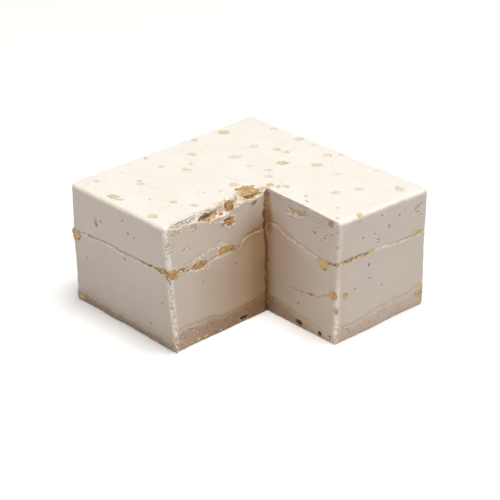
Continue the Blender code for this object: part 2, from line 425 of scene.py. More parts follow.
def remeshed(mesh, size):
    """A mesh made new from even quads of this size."""
    thing = bpy.data.objects.new("to_remesh", mesh)
    bpy.context.scene.collection.objects.link(thing)
    remesh = thing.modifiers.new("even_quads", "REMESH")
    remesh.mode = "VOXEL"
    remesh.voxel_size = size
    return plain_mesh(thing)


# %% Fewer faces inside
INSIDE = 1.5  # mm from the nearest wall: further in, nothing fine shows
KEPT_INSIDE = 0.12  # the share of the faces there that stays


def thinned_inside(mesh):
    """The mesh with larger faces far from its walls, so that it stays light."""
    thing = bpy.data.objects.new("to_thin", mesh)
    bpy.context.scene.collection.objects.link(thing)
    flat = positions(mesh)
    far_in = np.flatnonzero(wall_distance(flat[:, 0] / SIDE, flat[:, 1] / SIDE) > INSIDE)
    group = thing.vertex_groups.new(name="far_in")
    group.add(far_in.tolist(), 1.0, "REPLACE")
    thinning = thing.modifiers.new("thinning", "DECIMATE")
    thinning.ratio = 1 - (1 - KEPT_INSIDE) * len(far_in) / len(flat)
    thinning.vertex_group = group.name
    return plain_mesh(thing)


# %% A level slab
def level_slab(name, thickness, rim_round, foot_round):
    """The L drawn up to a thickness, with its convex edges rounded, as a fine even mesh."""
    slab = bmesh.new()
    sole = slab.faces.new([slab.verts.new((x, y, 0.0)) for x, y in slab_outline()])
    grown = bmesh.ops.extrude_face_region(slab, geom=[sole] + sole.edges[:])["geom"]
    risen = [item for item in grown if isinstance(item, bmesh.types.BMVert)]
    bmesh.ops.translate(slab, verts=risen, vec=(0.0, 0.0, thickness))
    bmesh.ops.recalc_face_normals(slab, faces=slab.faces[:])
    upright = [e for e in slab.edges if abs(e.verts[0].co.z - e.verts[1].co.z) > 1]
    at_cut = {(SIDE * CUT_U, 0.0), (SIDE, SIDE * CUT_V)}
    for radius, wanted in ((CUT_EDGE_ROUND, True), (CORNER_ROUND, False)):
        edges = [
            e for e in upright
            if e.is_valid and e.is_convex and (tuple(e.verts[0].co.xy) in at_cut) == wanted
        ]
        bmesh.ops.bevel(
            slab, geom=edges, offset=radius, segments=UPRIGHT_STEPS, profile=0.5, affect="EDGES"
        )
    for height, radius in ((thickness, rim_round), (0.0, foot_round)):
        rim = [
            e for e in slab.edges
            if all(abs(v.co.z - height) < 0.001 for v in e.verts) and e.calc_face_angle() > SHARP
        ]
        if radius:
            bmesh.ops.bevel(
                slab, geom=rim, offset=radius, segments=RIM_STEPS, profile=0.5, affect="EDGES"
            )
    mesh = bpy.data.meshes.new(name)
    slab.to_mesh(mesh)
    slab.free()
    return thinned_inside(remeshed(mesh, FINE))


# %% Numbers kept on a mesh
def keep_values(mesh, name, values):
    """Stores a number for each vertex, which the finish can read."""
    attribute = mesh.attributes.get(name) or mesh.attributes.new(name, "FLOAT", "POINT")
    attribute.data.foreach_set("value", values)


def kept_values(mesh, name):
    """The numbers that a mesh keeps for its vertices."""
    values = np.empty(len(mesh.vertices))
    mesh.attributes[name].data.foreach_get("value", values)
    return values


def normals_of(mesh):
    """The direction out of the mesh at each vertex."""
    flat = np.empty(len(mesh.vertices) * 3)
    mesh.vertices.foreach_get("normal", flat)
    return flat.reshape(-1, 3)


# %% [markdown]
# Bend, tear and wear
#
# Bending gives each layer its seams. Then the surface is pushed in and out along its normals: the
# upright edge at the front corner is the crumbliest, the lip of the middle layer stands a little
# proud where the two layers parted, and the edge of the top layer over it is drawn in. The foot
# reaches a little way up inside the middle layer, so that no groove shows where they meet.

# %% How far it bends and wears
THICKNESS = {"foot_layer": 4.0, "middle_layer": 16.5, "top_layer": 11.0}
SEAM_JAG, JAG_LENGTH = 0.17, 1.4
SEAM_OVERLAP = 0.14  # how far the middle layer reaches up into the top one
FOOT_REACH = 0.5  # how far the foot reaches up into the middle layer
FOOT_GRAIN = 0.07
LIP, DRAWN_IN = 0.22, 0.03
LIP_HEIGHT = 0.5
CRUMBLED, WORN_OFF = 0.17, 0.06  # how rough a worn edge is, and how much of it has gone
SKIN = 0.012  # how uneven a plain face is
WALL_SKIN = 0.4  # how far in from a wall its wear reaches
TOP_RIM_WEAR, TOP_RIM_WIDTH = 0.45, 1.3
BLEND_UP, BLEND_DOWN = 0.8, 0.7  # how far crumbs of one layer cling to the other at the foot
# How worn the upright edges are: the two at the ends of the cut, the inner one, the others.
# The wear also makes them paler, partly as a painted highlight.
CUT_FRONT_WEAR, INNER_WEAR, OTHER_WEAR = 1.0, 0.0, 0.4
CUT_RIGHT_WEAR = ((8, 0.85), (17, 0.2))  # a height, then the wear there

# %% Wear and walls
def upright_wear(u, v, height):
    """How worn a point is by the upright edges: 1 on the crumbliest one, less on the others."""
    wear = np.zeros(len(u))
    amounts = {
        "cut_front": CUT_FRONT_WEAR,
        "cut_right": np.interp(height, *np.array(CUT_RIGHT_WEAR).T),
        "cut_inner": INNER_WEAR,
    }
    for (x, y), name in zip(slab_outline(), TOP_CORNERS):
        apart = np.hypot(u * SIDE - x, v * SIDE - y)
        amount = amounts.get(name, OTHER_WEAR)
        wear = np.maximum(wear, amount * np.clip(1.4 - apart / 0.9, 0, 1))
    return wear


def wall_distance(u, v):
    """How far inside the nearest wall each point is, in mm."""
    x, y = u * SIDE, v * SIDE
    cut_x, cut_y = SIDE * CUT_U, SIDE * CUT_V
    over = np.where(y <= cut_y, cut_x - x, 99.0)
    beside = np.where(x >= cut_x, y - cut_y, 99.0)
    corner = np.where((x < cut_x) & (y > cut_y), np.hypot(cut_x - x, y - cut_y), 99.0)
    return np.minimum.reduce([x, y, SIDE - x, SIDE - y, over, beside, corner])


# %% [markdown]
# How deep in the cut a point is
#
# The finish paints shade on the walls towards the inner corner of the cut, so each point keeps how
# much it gets: 1 in the crevice, 0 far out or at the top. The crevice wanders, as the knife's two
# strokes didn't meet in a straight line, and a stripe of painted shade lies beside it on the short
# wall.

# %% The crevice and its shade
CUT_REACH = 32.0  # how far from the inner corner of the cut its shade reaches
# The crevice wanders along the long wall: the height, then how far from the true corner it runs.
WANDER = (
    (0.0, 0.2), (2.7, 0.5), (6.5, 0.15), (11.6, 0.4), (16.7, 0.2), (21.9, 0.9), (25.2, 1.1),
    (27.2, 0.7), (28.7, 0.5), (31.5, 0.1),
)


def crevice_line(heights):
    """Where the crevice is on the plan at each height."""
    line = corner_at("cut_inner", np.asarray(heights) / HEIGHT)
    line[..., 1] -= np.interp(heights, *np.array(WANDER).T)
    return line


def from_inner_edge(places):
    """How far the crevice at the inner corner of the cut is: sideways, and in all."""
    aside = places[:, :2] - crevice_line(places[:, 2])
    return aside, np.hypot(aside[:, 0], aside[:, 1])


# %% Depth in the cut
LIT_RIM = 0.4  # the shade starts this far under the top
LIT_DEPTH, LIT_SLOPE = 9, 0.6  # it is full this far down, and deeper further from the corner
LIT_CURVE, CURVE_SLOPE = 0.85, 0.07
SHORT_WALL_LIGHT, LONG_WALL_LIGHT = 0.33, 0.12  # how much paler than the corner each wall is
# The stripe of painted shade on the short wall beside the crevice: mm from it, then how dark.
STRIPE = ((0, 0.98), (1, 0.95), (2, 0.87), (3, 0.5), (4.4, 0.0))
# The stripe by height: where it shows, and where it gets narrower.
STRIPE_BY_HEIGHT = ((18, 0), (21, 1), (26, 1), (30, 0.8), (31.2, 0.3))
STRIPE_NARROWS = ((25, 1), (29, 2))


def corner_shade(places):
    """How much painted shade each place gets from the inner corner of the cut: 1 in it, 0 at the
    cut's far ends.
    """
    aside, apart = from_inner_edge(places)
    away = np.clip(apart - 4, 0, 10)
    deep = LIT_DEPTH + LIT_SLOPE * away
    below_top = np.clip((HEIGHT - LIT_RIM - places[:, 2]) / deep, 0, 1)
    below_top **= LIT_CURVE + CURVE_SLOPE * away
    short_wall = np.clip(1 + aside[:, 1] / (apart + 0.1), 0, 1) * np.clip(apart / 3.0, 0, 1)
    below_top *= 1 - SHORT_WALL_LIGHT * short_wall
    in_cut = np.clip((aside[:, 0] + 3.5) / 2, 0, 1) * np.clip((3.5 - aside[:, 1]) / 2, 0, 1)
    shade = np.clip(1 - apart / CUT_REACH, 0, 1) * below_top
    long_wall = np.clip(-aside[:, 1] / (apart + 0.1), 0, 1)
    shade = np.minimum(shade, 1 - LONG_WALL_LIGHT * long_wall * np.clip(apart / 0.5, 0, 1))
    scaled_apart = apart * np.interp(places[:, 2], *np.array(STRIPE_NARROWS).T)
    stripe = np.interp(scaled_apart, *np.array(STRIPE).T)
    stripe *= 1 - long_wall
    by_height = np.interp(places[:, 2], *np.array(STRIPE_BY_HEIGHT).T)
    return np.maximum(shade, stripe * by_height) * in_cut


# %% Bending
def bend(name, mesh, underside, upside):
    """Bends a slab between its two seams and out to the walls, and roughens its edges."""
    flat = positions(mesh)
    u, v = (np.clip(flat[:, axis] / SIDE, 0, 1) for axis in (0, 1))
    share = np.clip(flat[:, 2] / THICKNESS[name], 0, 1)
    middle = plan_point(u, v, np.full(len(u), 0.5))
    low, high = underside(middle), upside(middle)
    height = low + (high - low) * share
    plan = plan_point(u, v, height / HEIGHT)
    move_to(mesh, wavy(np.column_stack([plan, height])))
    bent, out = positions(mesh), normals_of(mesh)
    wear_and_highlight = upright_wear(u, v, height)
    inside = wall_distance(u, v)
    if name == "top_layer":
        from_rim = np.hypot(inside, HEIGHT - height)
        wear_and_highlight = np.maximum(wear_and_highlight, TOP_RIM_WEAR * np.clip(TOP_RIM_WIDTH - from_rim, 0, 1))
    push = wear_and_highlight * (CRUMBLED * crumble(bent, 1.1) - WORN_OFF) + SKIN * ripple(bent, 0.9)
    by_wall = np.clip(1 - inside / WALL_SKIN, 0, 1)
    tear = 0.5 + 0.5 * ripple(bent, 1.6, 3.0)
    blend = np.zeros(len(u))
    if name == "middle_layer":
        lip = np.exp(-(((high - height) / LIP_HEIGHT) ** 2)) * by_wall
        push += LIP * lip * tear
        # The lip is also made paler: partly crumbs, partly a painted highlight.
        wear_and_highlight = np.maximum(wear_and_highlight, lip)
        blend = np.exp(-(((height - low) / BLEND_UP) ** 2))
    if name == "top_layer":
        push -= DRAWN_IN * np.exp(-(((height - low) / LIP_HEIGHT) ** 2)) * by_wall * tear
    if name == "foot_layer":
        push += FOOT_GRAIN * ripple(bent, 0.9, 7.0) * by_wall
        under = np.clip(high - FOOT_REACH - height, 0, None)
        blend = np.exp(-((under / BLEND_DOWN) ** 2))
    places = bent + out * push[:, None]
    places[:, 2] = np.maximum(places[:, 2], 0.0)
    move_to(mesh, places)
    none = np.zeros(len(u))
    for title, values in (("wear_and_highlight", wear_and_highlight), ("blend", blend), ("hollow", none), ("rimmed", none)):
        keep_values(mesh, title, values)


def jagged(points, shift):
    """The height of a seam with the ragged little steps of a torn edge, moved by a shift."""
    def height(places):
        """The seam's height at places in the plan."""
        on_plan = np.column_stack([places, np.zeros(len(places))])
        return height_between(points, places) + SEAM_JAG * crumble(on_plan, JAG_LENGTH) + shift
    return height


def level(height):
    """A layer's plain flat side, as the same kind of function."""
    return lambda places: np.full(len(places), height)


# %% The three layers
layer_meshes = {}
for name, underside, upside, rounds in (
    ("foot_layer", level(0.0), jagged(foot_line, FOOT_REACH), (0.0, 0.3)),
    ("middle_layer", jagged(foot_line, 0.0), jagged(seam_line, SEAM_OVERLAP), (SEAM_ROUND, 0.0)),
    ("top_layer", jagged(seam_line, 0.0), level(HEIGHT), (EDGE_ROUND, SEAM_ROUND)),
):
    layer_meshes[name] = level_slab(name, THICKNESS[name], *rounds)
    bend(name, layer_meshes[name], underside, upside)
    print(name, len(layer_meshes[name].polygons), "faces")


# %% [markdown]
# Crags, hollows and pits
#
# Where a nut has dropped out or the knife has torn the nougat, a rough hollow is left. Sculpting
# would do it by hand; here each hollow is a lump with a crumbly skin, and a Boolean cuts all the
# lumps of a layer at once. A lump's own attribute says how deep its tint is, and the cut carries
# this over to the faces that it makes, so the finish can colour the inside of a hollow.

# %% Lumps
LUMP_SKIN = 0.16  # how far a lump's skin goes in and out, as a share of its smallest side
EDGE_TINT, CRACK_TINT, PIT_TINT, NUT_TINT = 0.1, 0.5, 0.8, 1.0


def rough_lump(
    name, middle, size, turn=None, detail=4, skin=LUMP_SKIN, grain=1.0, tint=NUT_TINT, rim=False
):
    """A closed lump with a crumbly skin, in mm; turn is a matrix that lays it along a wall.
    The hollow that it leaves gets a pale raised rim if rim is true."""
    lump = bmesh.new()
    bmesh.ops.create_icosphere(lump, subdivisions=detail, radius=0.5)
    mesh = bpy.data.meshes.new(name)
    lump.to_mesh(mesh)
    lump.free()
    ball = positions(mesh)
    shift = random.Random(name).uniform(0, 90)
    solid = ball * np.array(size)
    solid += 2 * ball * (skin * min(size) * crumble(solid, grain, shift))[:, None]
    if turn:
        solid = solid @ np.array(turn.to_3x3()).T
    move_to(mesh, solid + np.array(middle))
    keep_values(mesh, "hollow", np.full(len(ball), tint))
    keep_values(mesh, "rimmed", np.full(len(ball), float(rim)))
    return mesh


def lay_on_wall(wall, tilt=0.0):
    """Turns a lump's x along the wall, its y into it, and tilts it in the wall's plane."""
    start, end, out = wall_at(wall, HEIGHT / 2)
    along = (end - start).normalized()
    turn = Matrix(((along.x, -out.x, 0.0), (along.y, -out.y, 0.0), (0.0, 0.0, 1.0)))
    return turn @ Matrix.Rotation(math.radians(-tilt), 3, "Y")


def wall_box(wall, left, top, right, bottom):
    """The middle, length and height on a wall of a box of pixels."""
    middle = on_wall(wall, (left + right) / 2, (top + bottom) / 2)
    across = on_wall(wall, right, (top + bottom) / 2) - on_wall(wall, left, (top + bottom) / 2)
    rise = on_wall(wall, (left + right) / 2, top) - on_wall(wall, (left + right) / 2, bottom)
    return middle, across.xy.length, rise.z


# %% [markdown]
# Where the hollows are
#
# On the real block no two hollows are alike, so a random scatter would never match. Each one that
# the photograph shows is listed by its pixels, which the line of sight turns into a place on a
# wall. Very small pits are only counted for each patch and lie at random in it. The two walls that
# don't show get hollows of the same kinds.

# %% Hollows
# In the broken edge: each one's middle and its size, in mm.
HOLLOWS = {
    "bowl": ((2.0, -3.6, 31.9), (5.2, 5.8, 2.2)),
    "edge_crag": ((4.4, -16.6, 29.9), (2.8, 7.8, 1.9)),
    "lip_crag": ((4.9, -11.2, 27.3), (1.4, 3.8, 1.5)),
}
HOLLOW_TINTS = {"bowl": 0.45, "edge_crag": 1.0, "lip_crag": 0.8}
# The crevice in the inner corner of the cut is wider at some heights: the height, then the width.
CREVICE = (
    (29.9, 1.2), (28.6, 1.2), (27.3, 1.0), (25.2, 0.8), (22.2, 0.7), (17.5, 0.6), (13.6, 0.9),
    (9.6, 1.0), (7.4, 0.6), (4.2, 0.9), (1.0, 1.0),
)
# By the box of pixels that each fills on a wall, then its depth and tilt.
WALL_HOLLOWS = {
    "corner_nut_mouth": ("cut_long", (168.5, 270, 178, 279.5), 1.4, 0),
    "corner_nut_mouth_left": ("front", (163, 270, 172, 278), 0.9, 14),
    "second_nut_mouth": ("cut_long", (192, 261, 206.4, 269), 1.0, 0),
    "third_nut_mouth": ("cut_long", (217.4, 245.8, 231.8, 254.4), 1.0, 0),
    "left_edge_mouth": ("front", (72, 229, 81, 239.4), 1.2, 0),
    "short_wall_crag_start": ("cut_short", (286.4, 207, 296, 212.5), 0.3, -28),
    "short_wall_crag": ("cut_short", (292.5, 209.5, 302.5, 216.5), 0.38, -14),
    "short_wall_crag_end": ("cut_short", (299, 209.5, 306, 217), 0.3, 24),
    "short_wall_nut_mouth": ("cut_short", (320, 260.4, 328.4, 269.6), 1.0, 8),
    "right_edge_mouth": ("right", (412, 230.5, 423, 235), 0.2, 8),
    "low_nut_mouth": ("right", (343, 293, 348.6, 298.4), 0.5, 0),
    "crack_nut_mouth": ("cut_short", (329.2, 292, 336.6, 299.6), 0.6, 0),
    "short_wall_chip": ("cut_short", (333, 308, 338.5, 315), 0.6, 0),
    "foot_hole": ("cut_long", (240, 314.5, 249, 319), 0.8, 0),
    "foot_short_hole": ("cut_short", (295.3, 319.5, 303.5, 324.8), 0.8, 0),
    "foot_second_hole": ("cut_short", (317.4, 331.4, 322, 335.6), 0.5, 0),
    "left_slit": ("front", (93.8, 217, 97.3, 228), 0.5, 0),
    "right_scratch": ("right", (414, 205.6, 420.5, 209), 0.35, 20),
}
print(len(HOLLOWS) + len(WALL_HOLLOWS), "hollows")

# %% Pits and patches
# Small pits: their wall, the pixel in their middle, and their width and height in pixels.
PITS = (
    ("front", 100.3, 221.5, 1.6, 3), ("front", 122, 220.8, 1.8, 1.6), ("front", 127.6, 233.5, 2, 2),
    ("front", 134, 237.9, 1.6, 1.6), ("front", 161.9, 303, 1.6, 2), ("front", 150.5, 323.4, 1.8, 2),
    ("front", 91.7, 236.7, 2.6, 3), ("front", 143.5, 262, 4.5, 2.4), ("front", 157.6, 270, 3, 2.6),
    ("front", 125.4, 258.5, 1.4, 4), ("front", 87, 258, 1.4, 1.6), ("front", 110, 290, 1.4, 1.4),
    ("right", 408.5, 196.2, 2, 2.4), ("right", 418.2, 211, 2.4, 1.6), ("right", 399.3, 215.1, 2, 2),
    ("right", 381.9, 215.1, 2, 2), ("right", 388.8, 226.8, 1.8, 5), ("right", 374.3, 234, 2.6, 3),
    ("right", 363.8, 238, 2.6, 2.2), ("right", 377.9, 239, 2.4, 2), ("right", 369.2, 264.6, 2.4, 4),
    ("right", 370, 277.8, 2, 2), ("right", 355.1, 288.7, 1.6, 1.6), ("right", 382, 284.6, 1.6, 1.6),
    ("right", 377.7, 242.5, 2.6, 1.6), ("cut_short", 314.5, 231.6, 3, 3.4),
    ("cut_short", 324.6, 238, 4.4, 2.6), ("cut_short", 321, 222, 2, 2),
    ("cut_short", 310.8, 294.6, 5.5, 3.4),
    ("cut_short", 331.4, 234.7, 2, 2), ("cut_short", 338, 233, 1.6, 2.4),
    ("cut_short", 338, 247.7, 1.6, 2.6), ("cut_short", 298.5, 303, 2, 2),
    ("cut_long", 203, 282, 1.6, 1.6), ("cut_long", 236, 263, 1.6, 1.6),
    ("cut_long", 184, 250, 2, 1.6),
)
PIT_DEPTH = 0.45
# Chips in the walls that don't show: the wall, how far along it, their height over the seam, their
# length and height, and their paleness.
HIDDEN_CHIPS = {
    "back_seam_nut": ("back", 0.42, 0.0, 3.4, 1.9, 0.2),
    "back_low_nut": ("back", 0.7, -12.0, 1.6, 1.3, 0.4),
    "back_second_nut": ("back", 0.2, 0.3, 2.2, 1.4, 0.6),
    "left_seam_nut": ("left", 0.5, 0.0, 3.0, 1.8, 0.3),
    "left_high_nut": ("left", 0.25, 6.0, 1.4, 1.1, 0.5),
    "left_second_nut": ("left", 0.8, -0.3, 2.0, 1.3, 0.5),
}
HIDDEN_PITS = 9  # on each of those walls
# Patches that are crumbly all over: their wall, their box of pixels and how many crumbs they have.
PATCHES = (
    ("cut_long", (167, 223, 180, 237), 46), ("cut_long", (178, 221, 196, 231), 40),
    ("cut_long", (166.5, 243, 173, 256), 16), ("cut_long", (185, 246, 193, 249.5), 8),
    ("cut_long", (196, 219, 218, 224), 22), ("cut_long", (184, 262, 192, 268), 8),
    ("cut_short", (285, 206, 307, 217), 20), ("cut_short", (304, 212, 335, 228), 14),
    ("cut_short", (308, 229, 330, 241), 8), ("right", (400, 203, 424, 224), 12),
    ("right", (342, 316, 352, 332), 8), ("cut_short", (322, 326, 340, 342), 8),
    ("cut_long", (180, 326, 200, 346), 8), ("cut_long", (200, 318, 262, 336), 8),
)
PITS_FOR_EACH_CRUMB = 1.3
print(len(PITS), "pits and", len(PATCHES), "patches")

# %% Ragged hollows
SHALLOW = 0.4  # a hollow no deeper than this is made of plainer lumps, with a lighter tint
MAIN_SHARE = 0.86  # the main lump's share of the box
SMALL_LUMPS = 6
SMALL_SHARES = (0.3, 0.5)
RING = 0.34  # how far from the middle they stand, as a share of the box


def ragged_hollow(name, wall, box, depth, tilt):
    """A hollow through a wall: a main lump with smaller ones round it, so its mouth is ragged."""
    middle, length, height = wall_box(wall, *box)
    turn = lay_on_wall(wall, tilt)
    detail, tint = (4, NUT_TINT) if depth > SHALLOW else (3, 0.9)
    rim = wall == "cut_long"
    size = (length * MAIN_SHARE, depth * 2, height * MAIN_SHARE)
    made = [rough_lump(name, middle, size, turn, detail, tint=tint, rim=rim)]
    draw = random.Random(name)
    for index in range(SMALL_LUMPS):
        angle = draw.uniform(0, math.tau)
        aside = Vector((math.cos(angle) * length, 0, math.sin(angle) * height)) * RING
        size = [draw.uniform(*SMALL_SHARES) * min(length, height) for _ in range(3)]
        place = middle + turn @ aside
        made.append(rough_lump(f"{name}_{index}", place, size, turn, detail, 0.2, 0.7, tint, rim))
    return made


# %% [markdown]
# The broken edge and the cracks
#
# The long wall of the cut has lost its upper edge. A wedge that runs along the edge is cut away:
# at each station a few numbers say how far the top has broken back and how far down the wall has,
# and noise makes the broken face crumbly. Cracks and nibbled edges are trails of small bites.

# %% Broken edge
# A share of the way from the front to the inner corner, then the two distances there.
BREAK = (
    (0.00, 0.3, 0.5), (0.04, 0.4, 0.9), (0.10, 0.5, 1.2), (0.16, 0.4, 1.2), (0.22, 0.5, 1.2),
    (0.27, 0.9, 1.4), (0.31, 1.6, 1.6), (0.38, 1.6, 1.5), (0.43, 1.5, 1.4), (0.48, 2.0, 2.0),
    (0.545, 2.3, 2.9), (0.60, 2.1, 2.6), (0.66, 2.0, 1.6), (0.70, 2.3, 1.8), (0.78, 3.0, 1.2),
    (0.84, 2.6, 2.0), (0.906, 2.0, 1.5), (0.968, 1.4, 0.7), (1.00, 0.4, 0.3),
)
BREAK_STEPS = 200
BREAK_ACROSS = 16
CLEAR = 1.5  # how far the wedge stands out of the block
SAG = 0.13  # how much the broken face dips and swells, as a share of its smaller side
GOLDEN = ((0.0, 0.45), (0.5, 0.45), (0.65, 0.85), (1.0, 0.85))  # its tint, by place along it


def break_cutter():
    """A long wedge over the edge whose lower face is the broken surface, crumbly all over."""
    share, recess, drop = np.array(BREAK).T
    start, end = corner_at("cut_front", 1.0), corner_at("cut_inner", 1.0)
    out = np.array((1.0, 0.0))
    cutter = bmesh.new()
    rows = []
    for step in range(BREAK_STEPS + 1):
        here = 1.01 * step / BREAK_STEPS - 0.01
        edge = start + (end - start) * here
        back, down = np.interp(here, share, recess), np.interp(here, share, drop)
        row = [(edge + out * CLEAR, HEIGHT - down), (edge + out * CLEAR, HEIGHT + CLEAR)]
        row.append((edge - out * (back + 0.6), HEIGHT + CLEAR))
        for index in range(BREAK_ACROSS + 1):
            part = index / BREAK_ACROSS
            sag = -SAG * min(back, down) * math.sin(math.tau * part)
            reach = back * (1 - part) + sag
            row.append((edge - out * reach, HEIGHT + 0.05 - (down + 0.05) * part - sag * 0.5))
        rows.append([cutter.verts.new((*place, height)) for place, height in row])
    count = len(rows[0])
    for near, far in zip(rows, rows[1:]):
        for index in range(count):
            beside = (index + 1) % count
            cutter.faces.new((near[index], near[beside], far[beside], far[index]))
    cutter.faces.new(rows[0][::-1])
    cutter.faces.new(rows[-1])
    bmesh.ops.recalc_face_normals(cutter, faces=cutter.faces[:])
    mesh = bpy.data.meshes.new("break")
    cutter.to_mesh(mesh)
    cutter.free()
    places = positions(mesh)
    gone = (places[:, 1] - start[1]) / (end[1] - start[1])
    rough = np.clip(np.interp(gone, share, recess + drop) / 3.0, 0.3, 1)
    places[:, 2] += rough * (0.2 * crumble(places, 1.5, 5.0) + 0.06 * ripple(places, 0.6, 2.0))
    places[:, 0] += rough * 0.26 * crumble(places, 1.9, 31.0)
    move_to(mesh, places)
    golden = np.interp(gone, *np.array(GOLDEN).T)
    keep_values(mesh, "hollow", golden)
    keep_values(mesh, "wear_and_highlight", 0.7 * (1 - golden))
    keep_values(mesh, "rimmed", np.ones(len(golden)))
    return mesh


# %% Cracks and where they run
CRACKS = {
    "upper_tear": ("cut_long", (
        (183, 271), (188.7, 263.8), (191.7, 260.2), (201.4, 252.6), (206.5, 250), (212, 244.4),
        (221.8, 241),
    )),
    "low_crack": ("cut_short", (
        (293, 286.5), (297, 290), (302, 291.5), (307, 294), (311, 292.5), (314, 294.5), (316, 298),
        (320, 296.5), (324, 295), (329, 296),
    )),
    "foot_crack": ("cut_long", ((180, 331), (186, 327.5), (191, 327), (195, 325.5), (200, 323.5))),
}
BITE_DETAIL, BITE_SKIN, BITE_GRAIN = 3, 0.2, 0.6


def bites(name, line, spacing, sizes, stray, tint):
    """Small lumps along a line of places, for cutting."""
    draw = random.Random(name)
    made = []
    for start, end in zip(line, line[1:]):
        for _ in range(max(1, round((end - start).length / spacing))):
            middle = start.lerp(end, draw.random())
            middle += Vector([draw.gauss(0, stray) for _ in range(3)])
            size = [draw.uniform(*sizes) for _ in range(3)]
            label = f"{name}_{len(made)}"
            made.append(rough_lump(
                label, middle, size, None, BITE_DETAIL, BITE_SKIN, BITE_GRAIN, tint
            ))
    return made


def along_wall(wall, share, height):
    """A place on a wall, a share of the way along it."""
    start, end, _ = wall_at(wall, height)
    return Vector(wavy([(*start.lerp(end, share), height)])[0])


def upright_edge(corner, height):
    """A place on an upright edge of the block, or in the crevice of the cut."""
    inner = corner == "cut_inner"
    place = crevice_line(height) if inner else corner_at(corner, height / HEIGHT)
    return Vector(wavy([(place[0], place[1], height)])[0])


def seam_place(wall, along):
    """A place on the seam: along is a pixel column, or a share of a wall that doesn't show."""
    if wall in SEAM_PIXELS:
        columns, rows = np.array(SEAM_PIXELS[wall]).T
        return on_wall(wall, along, np.interp(along, columns, rows))
    heights = HIDDEN_SEAM[wall]
    height = float(np.interp(along * len(heights) - 0.5, range(len(heights)), heights))
    return along_wall(wall, along, height)


# %% [markdown]
# The gaping seam, and the rough patches
#
# The two layers stick together in some places and gape in others, with ground nut in the gap. A
# swept groove would look drawn with a ruler, so each gap is a row of overlapping lumps that
# follows the seam. The rough patches are many shallow pits, and the walls that don't show get
# pits and the mouths of chips.

# %% Gaps in the seam
# Where the seam gapes: the wall, from where to where along it, then the groove's height, its
# depth and its tint.
GROOVES = (
    ("front", 90, 93.5, 0.6, 0.3, 0.7), ("front", 95, 112, 0.28, 0.1, 0.2),
    ("front", 115, 138, 0.9, 0.12, 0.2), ("front", 140, 148, 0.6, 0.3, 0.6),
    ("front", 150, 167, 0.8, 0.35, 1.0), ("cut_long", 178, 187, 0.7, 0.3, 1.0),
    ("cut_long", 197, 214, 0.3, 0.14, 0.3), ("cut_long", 232, 262, 0.28, 0.12, 0.3),
    ("cut_short", 267, 318, 0.28, 0.12, 0.3), ("cut_short", 328, 340, 0.7, 0.3, 1.0),
    ("right", 342, 373, 0.75, 0.35, 1.0), ("right", 396, 411, 0.28, 0.1, 0.2),
    ("back", 0.04, 0.3, 0.3, 0.12, 0.3), ("back", 0.36, 0.5, 0.7, 0.3, 1.0),
    ("back", 0.58, 0.9, 0.8, 0.12, 0.2), ("left", 0.06, 0.34, 0.8, 0.12, 0.2),
    ("left", 0.4, 0.55, 0.7, 0.35, 1.0), ("left", 0.62, 0.92, 0.3, 0.12, 0.3),
)


def groove(name, wall, start, end, high, deep, tint):
    """A ragged groove along part of the seam: overlapping lumps in a row."""
    draw = random.Random(name)
    length = (seam_place(wall, end) - seam_place(wall, start)).length
    count = max(2, round(length / (0.9 * high + 0.15)))
    made = []
    for index in range(count):
        along = start + (end - start) * (index + draw.uniform(0.1, 0.9)) / count
        step = (end - start) / count
        ahead = seam_place(wall, along + step) - seam_place(wall, along - step)
        tilt = math.degrees(math.atan2(ahead.z, ahead.xy.length))
        long = (high + 0.3) * draw.uniform(1.2, 2.2)
        size = (long, deep * draw.uniform(1.2, 2.6), high * draw.uniform(0.6, 1.3))
        turn = lay_on_wall(wall, tilt)
        label = f"{name}_{index}"
        middle = seam_place(wall, along)
        made.append(rough_lump(label, middle, size, turn, BITE_DETAIL, 0.25, 0.7, tint))
    return made


# %% Patches and hidden walls
def patch_pits(name, wall, box, count):
    """Small shallow pits spread over a patch of wall."""
    draw = random.Random(name)
    made = []
    for index in range(count):
        spot = on_wall(wall, draw.uniform(box[0], box[2]), draw.uniform(box[1], box[3]))
        if not 0.4 < spot.z < HEIGHT - 0.3:
            continue
        size = (draw.uniform(0.25, 0.8), draw.uniform(0.12, 0.28), draw.uniform(0.25, 0.6))
        tint = draw.choice((0.6, 0.85, 1.0))
        label = f"{name}_{index}"
        turn = lay_on_wall(wall)
        made.append(rough_lump(label, spot, size, turn, BITE_DETAIL, 0.25, 0.5, tint))
    return made


def hidden_cutters(low, high):
    """Pits, and mouths for the chips, in the walls that don't show."""
    draw = random.Random("hidden")
    made = []
    for name, (wall, along, over, length, tall, _) in HIDDEN_CHIPS.items():
        middle = along_wall(wall, along, seam_place(wall, along).z + over)
        if low - 2 < middle.z < high + 2:
            size = (length * 1.05, 1.6, tall * 1.05)
            made.append(rough_lump(f"{name}_mouth", middle, size, lay_on_wall(wall)))
    for wall in HIDDEN_SEAM:
        for index in range(HIDDEN_PITS):
            middle = along_wall(wall, draw.uniform(0.05, 0.95), draw.uniform(2, 30))
            size = (draw.uniform(0.5, 1.0), PIT_DEPTH * 2, draw.uniform(0.5, 1.1))
            if low - 1 < middle.z < high + 1:
                label = f"{wall}_pit_{index}"
                turn = lay_on_wall(wall)
                made.append(rough_lump(label, middle, size, turn, BITE_DETAIL, tint=PIT_TINT))
    return made


# %% All the cutters of a layer
SPANS = {"foot_layer": (0, 4), "middle_layer": (4, 21), "top_layer": (19, 32)}
BITE_SPACING = 0.22


